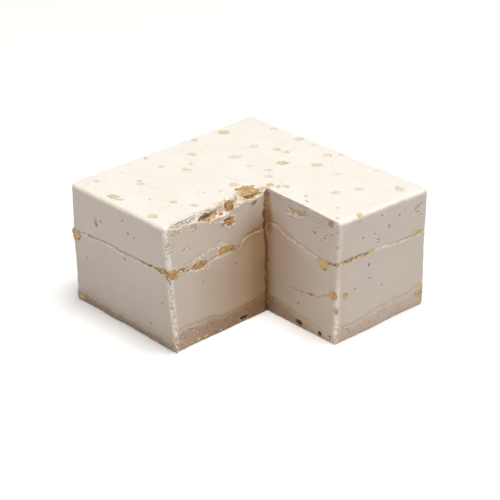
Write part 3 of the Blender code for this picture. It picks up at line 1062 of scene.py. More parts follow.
def cutters_for(layer):
    """All the lumps that are cut from a layer."""
    low, high = SPANS[layer]
    made = hidden_cutters(low, high)
    for name, (wall, box, depth, tilt) in WALL_HOLLOWS.items():
        if low - 2 < wall_box(wall, *box)[0].z < high + 2:
            made += ragged_hollow(name, wall, box, depth, tilt)
    for index, (wall, box, count) in enumerate(PATCHES):
        if low - 1 < wall_box(wall, *box)[0].z < high + 1:
            made += patch_pits(f"patch_{index}", wall, box, round(count * PITS_FOR_EACH_CRUMB))
    inner = [upright_edge("cut_inner", height) for height in np.arange(low - 0.5, high + 0.6, 1.0)]
    made += bites(f"crevice_{layer}", inner, BITE_SPACING, (0.3, 0.6), 0.08, NUT_TINT)
    for height, width in CREVICE:
        if low < height < high:
            size = (width, width, 2 * width)
            made.append(rough_lump(f"crevice_{height}", upright_edge("cut_inner", height), size))
    for wall, x, y, wide, tall in PITS:
        box = (x - wide / 2, y - tall / 2, x + wide / 2, y + tall / 2)
        middle, length, height = wall_box(wall, *box)
        if low - 1 < middle.z < high + 1:
            size, turn = (length, PIT_DEPTH * 2, height), lay_on_wall(wall)
            label = f"pit_{x}_{y}"
            made.append(rough_lump(label, middle, size, turn, BITE_DETAIL, tint=PIT_TINT))
    for name, (wall, pixels) in CRACKS.items():
        line = [on_wall(wall, x, y) for x, y in pixels]
        if low < line[0].z < high:
            made += bites(name, line, BITE_SPACING, (0.2, 0.45), 0.04, CRACK_TINT)
    if layer != "foot_layer":
        for index, values in enumerate(GROOVES):
            made += groove(f"groove_{index}", *values)
    if layer == "top_layer":
        made += [
            rough_lump(name, middle, size, tint=HOLLOW_TINTS[name], rim=True)
            for name, (middle, size) in HOLLOWS.items()
        ]
        made.append(break_cutter())
        line = [along_wall("cut_long", share, HEIGHT) for share in (0.0, 0.25, 0.5, 0.75)]
        made += bites("edge_bite", line, 0.8, (0.4, 1.0), 0.4, EDGE_TINT)
    if layer != "foot_layer":
        line = [upright_edge("cut_front", max(low, 4)), upright_edge("cut_front", min(high, 30))]
        made += bites("corner_bite", line, 0.7, (0.3, 0.7), 0.22, EDGE_TINT)
    return made


# %% [markdown]
# Cut and lift the rims
#
# Where a hollow was torn, its rim is pulled up a little and catches the light, and it is made
# paler: partly for its crumbs, partly as a painted highlight. One Boolean modifier cuts a whole
# collection of lumps at once, which is far quicker than one for each. Then the edges between torn
# and untorn points are the rims, and a search tree finds what lies near them.

# %% Cutting
RIM_WIDTH = 0.42
RIM_LIFT = 0.1
RIM_WEAR_AND_HIGHLIGHT = 0.55  # how pale a rim gets at most: partly crumbly wear, partly a painted highlight


def cut(mesh, cutters):
    """Cuts lumps from a mesh, all at once."""
    thing = bpy.data.objects.new("to_cut", mesh)
    bpy.context.scene.collection.objects.link(thing)
    lumps = bpy.data.collections.new("lumps")
    bpy.context.scene.collection.children.link(lumps)
    for lump in cutters:
        for title in ("wear_and_highlight", "blend"):
            if title not in lump.attributes:
                keep_values(lump, title, np.zeros(len(lump.vertices)))
        lumps.objects.link(bpy.data.objects.new(lump.name, lump))
    cutting = thing.modifiers.new("cutting", "BOOLEAN")
    cutting.operation = "DIFFERENCE"
    cutting.operand_type = "COLLECTION"
    cutting.collection = lumps
    cutting.solver = "MANIFOLD"
    result = plain_mesh(thing)
    for lump in list(lumps.objects):
        bpy.data.objects.remove(lump, do_unlink=True)
    bpy.data.collections.remove(lumps)
    return result


# %% Rims
def lift_rims(mesh):
    """Raises the ragged rims of the hollows a little and makes them pale: partly wear, partly a
    painted highlight.
    """
    hollow, rimmed = kept_values(mesh, "hollow"), kept_values(mesh, "rimmed")
    ends = np.empty(len(mesh.edges) * 2, int)
    mesh.edges.foreach_get("vertices", ends)
    ends = ends.reshape(-1, 2)
    mixed_edges = (rimmed[ends] > 0.5).sum(axis=1) == 1
    rim = np.unique(ends[mixed_edges])
    places, out = positions(mesh), normals_of(mesh)
    tree = KDTree(len(rim))
    for index in rim.tolist():
        tree.insert(places[index], index)
    tree.balance()
    near = np.zeros(len(places))
    for index in np.flatnonzero(hollow < 0.01).tolist():
        apart = tree.find(places[index])[2]
        near[index] = max(0.0, 1 - apart / RIM_WIDTH)
    near *= np.clip(from_inner_edge(places)[1] / 1.5 - 0.6, 0, 1)
    lift = RIM_LIFT * near * (0.4 + 0.8 * ripple(places, 0.8, 9.0))
    move_to(mesh, places + out * lift[:, None])
    wear_and_highlight = np.clip(near * 1.2, 0, RIM_WEAR_AND_HIGHLIGHT)
    keep_values(mesh, "wear_and_highlight", np.maximum(kept_values(mesh, "wear_and_highlight"), wear_and_highlight))
    # Painted shade near the inner corner of the cut, and how steep each point is, which picks the
    # darker painted colour of the walls.
    keep_values(mesh, "corner", corner_shade(places))
    keep_values(mesh, "side", 1 - np.clip(out[:, 2], 0, 1))


# %% Cut the layers
for name in layer_meshes:
    cutters = cutters_for(name)
    layer_meshes[name] = cut(layer_meshes[name], cutters)
    lift_rims(layer_meshes[name])
    layer_meshes[name].calc_loop_triangles()
    print(name, len(cutters), "lumps cut,", len(layer_meshes[name].loop_triangles), "triangles")


# %% [markdown]
# Finishes
#
# Nougat is dull, a little see-through and never one flat colour. The base colour drifts slightly
# over a few millimetres, worn edges and rims are paler, partly from loose crumbs that scatter the
# light and partly as a painted highlight, and hollows are warmer. Painted shade makes the walls
# darker than the top, darker towards the floor, and darker and warmer deep in the cut. Fine bumps
# and pits break up the shine. All patterns read Object coordinates, which lie still on the block.

# %% Building blocks for node trees
def add(tree, kind, inputs=None, **properties):
    """Adds a node. An input takes a value, or the output of another node."""
    node = tree.nodes.new(kind)
    for key, value in properties.items():
        setattr(node, key, value)
    for key, value in (inputs or {}).items():
        if isinstance(value, bpy.types.NodeSocket):
            tree.links.new(value, node.inputs[key])
        else:
            node.inputs[key].default_value = value
    return node


def new_finish(name):
    """A material with an untouched Principled shader, and its node tree."""
    material = bpy.data.materials.new(name)
    material.use_nodes = True
    return material, material.node_tree


# %% Patterns on the block
def block_place(tree):
    """Object coordinates: a place on the block, in metres."""
    return add(tree, "ShaderNodeTexCoord").outputs["Object"]


def speckle(tree, scale, detail=3.0):
    """Noise on the block; scale is in bumps for each metre."""
    inputs = {"Vector": block_place(tree), "Scale": scale, "Detail": detail}
    return add(tree, "ShaderNodeTexNoise", inputs).outputs["Fac"]


def spread(tree, value, low, high, start=0.0, end=1.0):
    """Stretches a value from low..high to start..end, and stops it there."""
    inputs = {"Value": value, "From Min": low, "From Max": high, "To Min": start, "To Max": end}
    return add(tree, "ShaderNodeMapRange", inputs).outputs["Result"]


def kept(tree, name):
    """A number that a mesh keeps for each vertex."""
    return add(tree, "ShaderNodeAttribute", attribute_name=name).outputs["Fac"]


def mixed(tree, share, under, over):
    """Two colours mixed by a value; each is a colour or a socket."""
    under, over = ((*c, 1.0) if isinstance(c, tuple) else c for c in (under, over))
    mix = add(tree, "ShaderNodeMix", data_type="RGBA")
    for index, value in ((0, share), (6, under), (7, over)):
        if isinstance(value, bpy.types.NodeSocket):
            tree.links.new(value, mix.inputs[index])
        else:
            mix.inputs[index].default_value = value
    return mix.outputs[2]


def math_node(tree, operation, first, second):
    """One sum on two numbers; each is a number or a socket."""
    return add(tree, "ShaderNodeMath", {0: first, 1: second}, operation=operation).outputs[0]


# %% From patterns to a shader
def finish_with(tree, colour, roughness, bumps, softness, glow_radius):
    """Links a colour, a roughness and a stack of bumps to the Principled shader."""
    shader = tree.nodes["Principled BSDF"]
    tree.links.new(colour, shader.inputs["Base Color"])
    tree.links.new(roughness, shader.inputs["Roughness"])
    below = None
    for height, strength, depth in bumps:
        inputs = {"Height": height, "Strength": strength, "Distance": depth}
        if below:
            inputs["Normal"] = below
        below = add(tree, "ShaderNodeBump", inputs).outputs["Normal"]
    tree.links.new(below, shader.inputs["Normal"])
    shader.inputs["Subsurface Weight"].default_value = softness
    shader.inputs["Subsurface Radius"].default_value = glow_radius
    shader.inputs["Subsurface Scale"].default_value = 1.0


# %% [markdown]
# Shade deep in the cut
#
# The cut walls get painted shade: they darken and turn warm towards the inner corner, more than
# the light alone would do. Painting them would need a texture. Instead each point keeps how much
# of this shade it gets, and a colour ramp turns that number into a tint.

# %% Shade in the cut
# The painted shade towards the inner corner: a share of the way, then a tint.
PAINTED_CUT_SHADE = (
    (0.0, (1.0, 1.0, 1.0)), (0.04, (1.0, 0.98, 0.96)), (0.25, (0.99, 0.95, 0.91)),
    (0.42, (0.88, 0.80, 0.71)), (0.6, (0.77, 0.68, 0.58)), (0.81, (0.67, 0.51, 0.35)),
    (0.9, (0.54, 0.37, 0.20)), (0.95, (0.37, 0.21, 0.09)), (1.0, (0.16, 0.07, 0.02)),
)


def shaded(tree, colour):
    """The colour with painted shade: darker and warmer the nearer it is to the inner corner of the
    cut.
    """
    ramp = add(tree, "ShaderNodeValToRGB", {"Fac": kept(tree, "corner")})
    stops = ramp.color_ramp.elements
    while len(stops) < len(PAINTED_CUT_SHADE):
        stops.new(0.5)
    for stop, (share, tint) in zip(stops, PAINTED_CUT_SHADE):
        stop.position = share
        stop.color = (*tint, 1.0)
    mix = add(tree, "ShaderNodeMix", data_type="RGBA", blend_type="MULTIPLY")
    mix.inputs[0].default_value = 1.0
    tree.links.new(colour, mix.inputs[6])
    tree.links.new(ramp.outputs["Color"], mix.inputs[7])
    return mix.outputs[2]


# %% [markdown]
# The nougat
#
# The top was levelled and is a creamy white, while the cut walls get a duller, greyer colour,
# which is painted shade. One function makes both layers and the crumbs: how steep a point is
# chooses between the two colours, and the numbers kept on the mesh place the tinted hollows, the
# pale rims, which are partly a painted highlight, and the painted shade in the cut. A little
# subsurface scattering lets light into it, as into wax.

# %% Nougat
NOUGAT_GLOW = (0.0010, 0.0006, 0.0004)  # how far light goes in, in metres, for each colour
HOLLOW_TONE = (0.56, 0.39, 0.21)
# Worn edges and rims turn to this: partly pale crumbs, partly a painted highlight.
PALE_WEAR_AND_HIGHLIGHT = (0.88, 0.82, 0.73)
# Painted shade: the colour that the walls darken to towards the floor.
LOW_WALL_SHADE_TONE = (0.36, 0.32, 0.285)
FOOT_TONE = (0.45, 0.34, 0.26)
LOW_SHADE_START, LOW_SHADE_FULL = 0.022, 0.004  # painted shade darkens the walls downwards from the first height to the second
LOW_SHADE_GONE_AT, LOW_SHADE_FULL_AT = 0.0305, 0.027  # but not the right wall, by its place across the block


def nougat_finish(name, top, side):
    """Soft nougat: pale on top, walls darkened as painted shade, tinted hollows, and worn edges
    paler, partly as a painted highlight.
    """
    material, tree = new_finish(name)
    # Painted shade: the steeper a point is, the more of the darker wall colour it takes.
    wall_shade_share = spread(tree, kept(tree, "side"), 0.25, 0.85)
    colour = mixed(tree, wall_shade_share, top, side)
    place = add(tree, "ShaderNodeSeparateXYZ", {"Vector": block_place(tree)}).outputs
    # Painted shade: the walls get darker towards the floor, but not the right wall.
    low_down = spread(tree, place["Z"], LOW_SHADE_START, LOW_SHADE_FULL, 0.0, 0.4)
    off_right = spread(tree, place["X"], LOW_SHADE_GONE_AT, LOW_SHADE_FULL_AT)
    low_wall_shade = math_node(tree, "MULTIPLY", math_node(tree, "MULTIPLY", low_down, off_right), wall_shade_share)
    colour = mixed(tree, low_wall_shade, colour, LOW_WALL_SHADE_TONE)
    drift = spread(tree, speckle(tree, 120.0, 4.0), 0.35, 0.65, 0.0, 0.07)
    colour = mixed(tree, drift, colour, HOLLOW_TONE)
    fleck = spread(tree, speckle(tree, 1500.0, 2.0), 0.64, 0.74, 0.0, 0.35)
    colour = mixed(tree, fleck, colour, HOLLOW_TONE)
    grains = spread(tree, speckle(tree, 700.0), 0.3, 0.7, 0.7, 0.9)
    clinging = math_node(tree, "MULTIPLY", kept(tree, "blend"), grains)
    colour = mixed(tree, clinging, colour, FOOT_TONE)
    patchy = spread(tree, speckle(tree, 800.0), 0.3, 0.6, 0.35, 1.0)
    inside = math_node(tree, "MULTIPLY", kept(tree, "hollow"), patchy)
    colour = mixed(tree, inside, colour, HOLLOW_TONE)
    # Worn edges and rims are paler: partly crumbs, partly a painted highlight.
    edge = spread(tree, speckle(tree, 900.0), 0.32, 0.58)
    rim = math_node(tree, "MULTIPLY", kept(tree, "wear_and_highlight"), edge)
    # Painted shade towards the inner corner; then a share of the pale rim again over it, a painted
    # highlight that stays bright deep in the cut.
    colour = shaded(tree, mixed(tree, rim, colour, PALE_WEAR_AND_HIGHLIGHT))
    colour = mixed(tree, math_node(tree, "MULTIPLY", rim, 0.35), colour, PALE_WEAR_AND_HIGHLIGHT)
    rough = spread(tree, speckle(tree, 500.0), 0.3, 0.7, 0.5, 0.72)
    bumps = (
        (speckle(tree, 260.0, 3.0), 0.3, 0.0003),
        (speckle(tree, 1900.0, 4.0), 0.4, 0.00008),
    )
    finish_with(tree, colour, rough, bumps, 0.2, NOUGAT_GLOW)
    return material


# %% The nougat finishes
# The second colour is for the walls: on the top layer it is darker than the top, as painted shade.
top_finish = nougat_finish("top_nougat", (0.87, 0.825, 0.76), (0.603, 0.534, 0.488))
middle_finish = nougat_finish("middle_nougat", (0.626, 0.55, 0.495), (0.60, 0.53, 0.475))
crumb_finish = nougat_finish("nougat_crumb", (0.76, 0.67, 0.55), (0.76, 0.67, 0.55))
print(len(top_finish.node_tree.nodes), "nodes in a nougat finish")

# %% [markdown]
# The foot
#
# The foot is ground nuts and crumbs pressed together, so it is darker, rougher and speckled. It
# was the first thing in the mould and has soaked up oil, most of all at the left. Light and dark
# grains come from noise at two scales, and the deep bumps make it look pressed.

# %% Foot
FOOT_LEFT, FOOT_RIGHT = (0.33, 0.225, 0.16), (0.55, 0.445, 0.37)
FOOT_DRIFT = (0.38, 0.28, 0.21)
LIGHT_GRAIN, DARK_GRAIN = (0.72, 0.65, 0.54), (0.26, 0.17, 0.10)
NOUGAT_ON_FOOT = (0.64, 0.57, 0.50)
FOOT_HOLE = (0.22, 0.10, 0.045)
# The foot's pale worn edges: partly crumbs, partly a painted highlight.
FOOT_WEAR_AND_HIGHLIGHT = (0.84, 0.76, 0.64)
# Painted shade on the foot deep in the cut.
FOOT_CORNER_SHADE = (0.17, 0.09, 0.04)
FOOT_GLOW = (0.0008, 0.0005, 0.0003)


def foot_finish(name):
    """The foot: ground nuts and crumbs pressed together, with light and dark grains."""
    material, tree = new_finish(name)
    along = add(tree, "ShaderNodeSeparateXYZ", {"Vector": block_place(tree)}).outputs["X"]
    paler = spread(tree, along, -0.005, 0.028)
    colour = mixed(tree, paler, FOOT_LEFT, FOOT_RIGHT)
    drift = spread(tree, speckle(tree, 110.0, 3.0), 0.35, 0.65, 0.0, 0.35)
    colour = mixed(tree, drift, colour, FOOT_DRIFT)
    light = spread(tree, speckle(tree, 1400.0, 2.0), 0.56, 0.68, 0.0, 0.3)
    colour = mixed(tree, light, colour, LIGHT_GRAIN)
    dark = spread(tree, speckle(tree, 1050.0, 2.0), 0.40, 0.30, 0.0, 0.4)
    colour = mixed(tree, dark, colour, DARK_GRAIN)
    grains = spread(tree, speckle(tree, 1300.0), 0.3, 0.7, 0.25, 0.8)
    crumbs = math_node(tree, "MULTIPLY", kept(tree, "blend"), grains)
    colour = mixed(tree, crumbs, colour, NOUGAT_ON_FOOT)
    colour = mixed(tree, kept(tree, "hollow"), colour, FOOT_HOLE)
    patchy = spread(tree, speckle(tree, 900.0), 0.4, 0.6)
    edge = math_node(tree, "MULTIPLY", kept(tree, "wear_and_highlight"), patchy)
    # Pale edges, partly wear and partly a painted highlight, then painted shade towards the inner
    # corner of the cut, darker still on the foot.
    colour = shaded(tree, mixed(tree, edge, colour, FOOT_WEAR_AND_HIGHLIGHT))
    deep = spread(tree, kept(tree, "corner"), 0.2, 0.8, 0.0, 0.6)
    colour = mixed(tree, deep, colour, FOOT_CORNER_SHADE)
    rough = spread(tree, speckle(tree, 700.0), 0.3, 0.7, 0.6, 0.85)
    bumps = (
        (speckle(tree, 800.0, 3.0), 0.5, 0.0003),
        (speckle(tree, 2500.0, 3.0), 0.5, 0.0001),
    )
    finish_with(tree, colour, rough, bumps, 0.1, FOOT_GLOW)
    return material


foot_material = foot_finish("grainy_foot")
print(len(foot_material.node_tree.nodes), "nodes in the foot's finish")

# %% [markdown]
# The nuts
#
# A chopped nut shows its golden flesh and bits of brown skin, and oil makes it shinier than the
# nougat. Nougat clings to some of them, and the flakes in the top are almost covered. Each piece
# keeps how pale it is, so one function makes the whole range.

# %% Nuts
NOUGAT_FILM = (0.86, 0.82, 0.755)
NUT_GLOW = (0.0008, 0.0005, 0.0002)


def nut_finish(name, golden, brown, pale, patches):
    """Chopped nut, golden to brown and slightly oily. More nougat clings to a paler chip."""
    material, tree = new_finish(name)
    colour = mixed(tree, kept(tree, "paleness"), golden, pale)
    streak = spread(tree, speckle(tree, 900.0, 4.0), 0.45, 0.6, 0.0, 0.9)
    plain = spread(tree, kept(tree, "paleness"), 0.0, 0.6, 1.0, 0.1)
    streak = math_node(tree, "MULTIPLY", streak, plain)
    colour = mixed(tree, streak, colour, brown)
    film = spread(tree, speckle(tree, 1100.0, 3.0), 0.42, 0.62, 0.0, patches)
    film = math_node(tree, "MULTIPLY", film, kept(tree, "paleness"))
    # Painted shade towards the inner corner of the cut, as on the nougat.
    colour = shaded(tree, mixed(tree, film, colour, NOUGAT_FILM))
    rough = spread(tree, speckle(tree, 900.0), 0.3, 0.7, 0.38, 0.58)
    bumps = (
        (speckle(tree, 500.0, 2.0), 0.8, 0.0004),
        (speckle(tree, 2000.0, 3.0), 0.5, 0.0001),
    )
    finish_with(tree, colour, rough, bumps, 0.15, NUT_GLOW)
    return material


nut_material = nut_finish(
    "chopped_nut", (0.56, 0.33, 0.135), (0.26, 0.155, 0.055), (0.66, 0.49, 0.21), 0.15
)
flake_material = nut_finish(
    "nut_flake", (0.72, 0.57, 0.34), (0.61, 0.51, 0.31), (0.74, 0.70, 0.56), 0.7
)
print(len(nut_material.node_tree.nodes), "nodes in a nut's finish")

# %% [markdown]
# Put the layers on the block
#
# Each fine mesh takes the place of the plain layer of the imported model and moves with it. The
# faces are shaded smooth, but not over the ridges of the crags, where the angle is large.

# %% Layers on the block
CRAG_ANGLE = math.radians(55)
SLOTS = {
    "foot_layer": ("grainy_foot", foot_material),
    "middle_layer": ("middle_nougat", middle_finish),
    "top_layer": ("top_nougat", top_finish),
}


def place_piece(name, mesh, material, replaced=None):
    """Links a finished mesh, rides it on the block, and hides the part that it replaces. Nothing
    reaches below the surface that the block lies on."""
    places = positions(mesh)
    places[:, 2] = np.maximum(places[:, 2], 0.0)
    move_to(mesh, places)
    piece = new_piece(name, mesh, material)
    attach(piece, "root")
    if replaced:
        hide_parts(replaced)
    sides = [round(side / MM, 1) for side in piece.dimensions]
    print(name, len(mesh.polygons), "faces,", sides, "mm")
    return piece


for name, mesh in layer_meshes.items():
    slot, material = SLOTS[name]
    mesh.shade_smooth()
    mesh.set_sharp_from_angle(angle=CRAG_ANGLE)
    place_piece(f"{name}_crumb", mesh.copy(), material, name)


# %% [markdown]
# Nut chips
#
# A chopped nut breaks into blunt pieces with flat faces. A lump is pressed flat against a few
# planes at random to get them. The chips in the seam are cut by the knife with the nougat, so they
# end flush with the wall.

# %% Chips
# In the broken edge: the pixel in the chip's middle, how far that lies over the torn surface, its
# size, how pale it is, and its taper: how much wider it is at the top.
EDGE_NUTS = {
    "bowl_nut": ((247.5, 191), -0.1, (5.6, 6.2, 2.0), 0.3, 0.0),
    "bowl_nut_back": ((244, 188.8), -0.2, (2.6, 3.0, 1.4), 0.3, 0.0),
    "broken_edge_nut": ((227.4, 203.8), -0.5, (2.7, 2.2, 3.8), 0.0, 0.7),
    "edge_crag_nut": ((208.2, 217.0), -0.35, (2.6, 7.9, 1.9), 0.0, 0.0),
    "bowl_crumb": ((259.5, 192), 0.0, (0.9, 1.0, 0.8), 0.9, 0.0),
}
# In the walls: the box of pixels that the chip fills, its depth, its paleness and its taper.
WALL_NUTS = {
    "corner_nut": ("cut_long", (168.6, 270.4, 179, 283), 1.2, 0.0, 0.7),
    "corner_nut_left": ("front", (162, 270, 172, 279), 0.8, 0.1, 0.8),
    "second_nut": ("cut_long", (191.6, 261.6, 206.6, 268.6), 0.8, 0.15, 0.0),
    "third_nut": ("cut_long", (217, 246.4, 233.5, 253.6), 0.8, 0.45, 0.0),
    "third_nut_end": ("cut_long", (227, 246, 236.5, 250), 0.6, 0.3, 0.0),
    "left_edge_nut": ("front", (72.5, 229, 80.8, 239), 1.0, 0.3, 0.0),
    "short_wall_nut": ("cut_short", (319.8, 260.4, 328.6, 269.6), 0.8, 0.6, 0.4),
    "crack_nut": ("cut_short", (329.4, 292, 336.4, 299.6), 0.6, 0.3, 0.0),
    "low_nut": ("right", (343.2, 293, 348.5, 298.3), 0.5, 0.4, 0.0),
    "right_edge_nut": ("right", (412.5, 230, 416.2, 235), 0.5, 0.9, 0.0),
    "right_edge_second_nut": ("right", (419.5, 229, 423.5, 233), 0.5, 1.0, 0.0),
    "lip_nut": ("cut_long", (221.5, 219.6, 233.6, 226), 0.4, 0.0, 0.0),
    "corner_stain": ("cut_short", (328.4, 221.5, 334.4, 226.5), 0.3, 0.1, 0.0),
    "upper_stain": ("cut_long", (251.2, 200.7, 256.2, 204.7), 0.3, 0.1, 0.0),
    "foot_right_chip": ("right", (415, 290.6, 421.5, 296), 0.4, 0.2, 0.0),
    "foot_right_pale_chip": ("right", (417.5, 281, 422, 287), 0.3, 0.9, 0.0),
    "foot_olive_chip": ("cut_long", (197.6, 337, 201.4, 341), 0.4, 0.6, 0.0),
    "foot_tan_chip": ("cut_long", (204.5, 334.8, 208, 337.4), 0.4, 0.7, 0.0),
    "foot_front_chip": ("front", (80, 294.6, 84.4, 298), 0.3, 0.6, 0.0),
}
# The slant of the chips that lie along the seam, in degrees.
SLANTS = {"second_nut": 7, "third_nut": 8, "short_wall_nut": -10, "lip_nut": -16}
PROUD = 0.07  # how far a chip in a wall stands out of it
FLAT_SIDES = 5
PRESSED = 0.9  # how flat a side is pressed: 1 is quite flat
OVER_BOX, HIDDEN_OVER_BOX = 1.12, 1.1  # how much larger a chip is than its mouth
HIDDEN_DEPTH = 1.4

# %% A chip
def chip_mesh(name, middle, size, paleness, turn=None, taper=0.0):
    """A lump pressed flat against a few planes, as a broken nut is."""
    mesh = rough_lump(name, (0, 0, 0), (1, 1, 1), None, 4, 0.14, 0.6)
    draw = random.Random(name)
    places = positions(mesh)
    for _ in range(FLAT_SIDES):
        away = np.array([draw.gauss(0, 1) for _ in range(3)])
        away /= np.linalg.norm(away)
        over = places @ away - draw.uniform(0.28, 0.4)
        places -= np.clip(over, 0, None)[:, None] * away * PRESSED
    places *= np.array(size)
    places += 0.2 * crumble(places, 0.7, draw.uniform(0, 90))[:, None] * places / np.array(size)
    places[:, 0] *= 1 + taper * 2 * places[:, 2] / size[2]
    if turn:
        places[:, 1] = np.maximum(places[:, 1], -PROUD + 0.06 * ripple(places, 0.6))
        places = places @ np.array(turn.to_3x3()).T
    move_to(mesh, places + np.array(middle))
    keep_values(mesh, "paleness", np.full(len(places), paleness))
    return mesh


def joined(name, meshes):
    """Several meshes as one."""
    together = bmesh.new()
    for mesh in meshes:
        together.from_mesh(mesh)
    mesh = bpy.data.meshes.new(name)
    together.to_mesh(mesh)
    together.free()
    return mesh


# %% Find the torn surface
surfaces = [
    BVHTree.FromPolygons(positions(mesh).tolist(), [face.vertices[:] for face in mesh.polygons])
    for mesh in layer_meshes.values()
]


def on_surface(x, y):
    """Where a pixel's line of sight first meets a layer as it now is, hollows and all."""
    ray = sight(x, y).normalized()
    found = [tree.ray_cast(CAMERA_PLACE, ray) for tree in surfaces]
    hits = [hit for hit in found if hit[0]]
    return min(hits, key=lambda hit: hit[3])[0] if hits else None


# %% All the chips
chips = []
for name, (pixel, lift, size, pale, taper) in EDGE_NUTS.items():
    middle = on_surface(*pixel) + Vector((0, 0, lift))
    chips.append(chip_mesh(name, middle, size, pale, None, taper))
for name, (wall, box, depth, pale, taper) in WALL_NUTS.items():
    middle, length, height = wall_box(wall, *box)
    size = (length * OVER_BOX, depth * 2, height * OVER_BOX)
    turn = lay_on_wall(wall, SLANTS.get(name, 0))
    chips.append(chip_mesh(name, middle, size, pale, turn, taper))
for name, (wall, along, over, length, tall, pale) in HIDDEN_CHIPS.items():
    middle = along_wall(wall, along, seam_place(wall, along).z + over)
    size = (length * HIDDEN_OVER_BOX, HIDDEN_DEPTH, tall * HIDDEN_OVER_BOX)
    chips.append(chip_mesh(name, middle, size, pale, lay_on_wall(wall)))
nut_mesh = joined("nut_chips", chips)
# Each chip keeps how much painted shade it gets near the inner corner of the cut.
keep_values(nut_mesh, "corner", corner_shade(positions(nut_mesh)))
nut_mesh.shade_smooth()
place_piece("nut_chips", nut_mesh, nut_material)

# %% [markdown]
# Flakes in the top
#
# Slivers of nut lie flush in the top, sliced by the knife that levelled it. Each could be modelled
# by hand, but they repeat, so Geometry Nodes put a thin disc on each of a set of points and noise
# makes their outlines unlike. The points carry each flake's length, width and turn.

# %% Node tools
def new_tree(name, inputs):
    """A Geometry Nodes tree with named inputs; returns it with its input sockets by name."""
    tree = bpy.data.node_groups.new(name, "GeometryNodeTree")
    kinds = {"Geometry": "NodeSocketGeometry", **inputs}
    for title, kind in kinds.items():
        tree.interface.new_socket(title, in_out="INPUT", socket_type=kind)
    tree.interface.new_socket("Geometry", in_out="OUTPUT", socket_type="NodeSocketGeometry")
    return tree, add(tree, "NodeGroupInput").outputs


def random_number(tree, low, high, seed):
    """A number of its own for each point, between two values."""
    inputs = {2: low, 3: high, 8: seed}
    return add(tree, "FunctionNodeRandomValue", inputs, data_type="FLOAT").outputs[1]


def random_arrow(tree, low, high, seed):
    """Three numbers of their own for each point."""
    inputs = {0: low, 1: high, 8: seed}
    return add(tree, "FunctionNodeRandomValue", inputs, data_type="FLOAT_VECTOR").outputs[0]


def arrow_math(tree, operation, first, second):
    """One sum on two vectors."""
    inputs = {0: first, 1: second}
    return add(tree, "ShaderNodeVectorMath", inputs, operation=operation).outputs[0]


def scaled(tree, arrow, amount):
    """A vector made longer or shorter."""
    inputs = {0: arrow, "Scale": amount}
    return add(tree, "ShaderNodeVectorMath", inputs, operation="SCALE").outputs[0]


def random_tones(tree, instances, seed):
    """Gives each instance a paleness of its own."""
    tone = random_number(tree, 0.0, 1.0, seed)
    inputs = {"Geometry": instances, "Name": "paleness", "Value": tone}
    kind = "GeometryNodeStoreNamedAttribute"
    return add(tree, kind, inputs, data_type="FLOAT", domain="INSTANCE").outputs[0]


def finish_tree(tree, instances, roughness, size, material, level_only=False):
    """Makes the instances real, breaks their outlines with noise and adds the finish."""
    real = add(tree, "GeometryNodeRealizeInstances", {"Geometry": instances}).outputs[0]
    place = add(tree, "GeometryNodeInputPosition").outputs[0]
    inputs = {"Vector": place, "Scale": size, "Detail": 2.0}
    noise_colour = add(tree, "ShaderNodeTexNoise", inputs).outputs["Color"]
    push = arrow_math(tree, "SUBTRACT", noise_colour, (0.5, 0.5, 0.5))
    if level_only:
        push = arrow_math(tree, "MULTIPLY", push, (1.0, 1.0, 0.0))
    inputs = {"Geometry": real, "Offset": scaled(tree, push, roughness)}
    broken = add(tree, "GeometryNodeSetPosition", inputs).outputs[0]
    inputs = {"Geometry": broken, "Material": material}
    finished = add(tree, "GeometryNodeSetMaterial", inputs).outputs[0]
    add(tree, "NodeGroupOutput", {"Geometry": finished})


def grown(name, mesh, tree, values):
    """Runs a tree on a mesh with the values of its named inputs, and returns a plain mesh."""
    thing = bpy.data.objects.new(name, mesh)
    bpy.context.scene.collection.objects.link(thing)
    growing = thing.modifiers.new(tree.name, "NODES")
    growing.node_group = tree
    for title, value in values.items():
        growing[tree.interface.items_tree[title].identifier] = value
    return plain_mesh(thing)


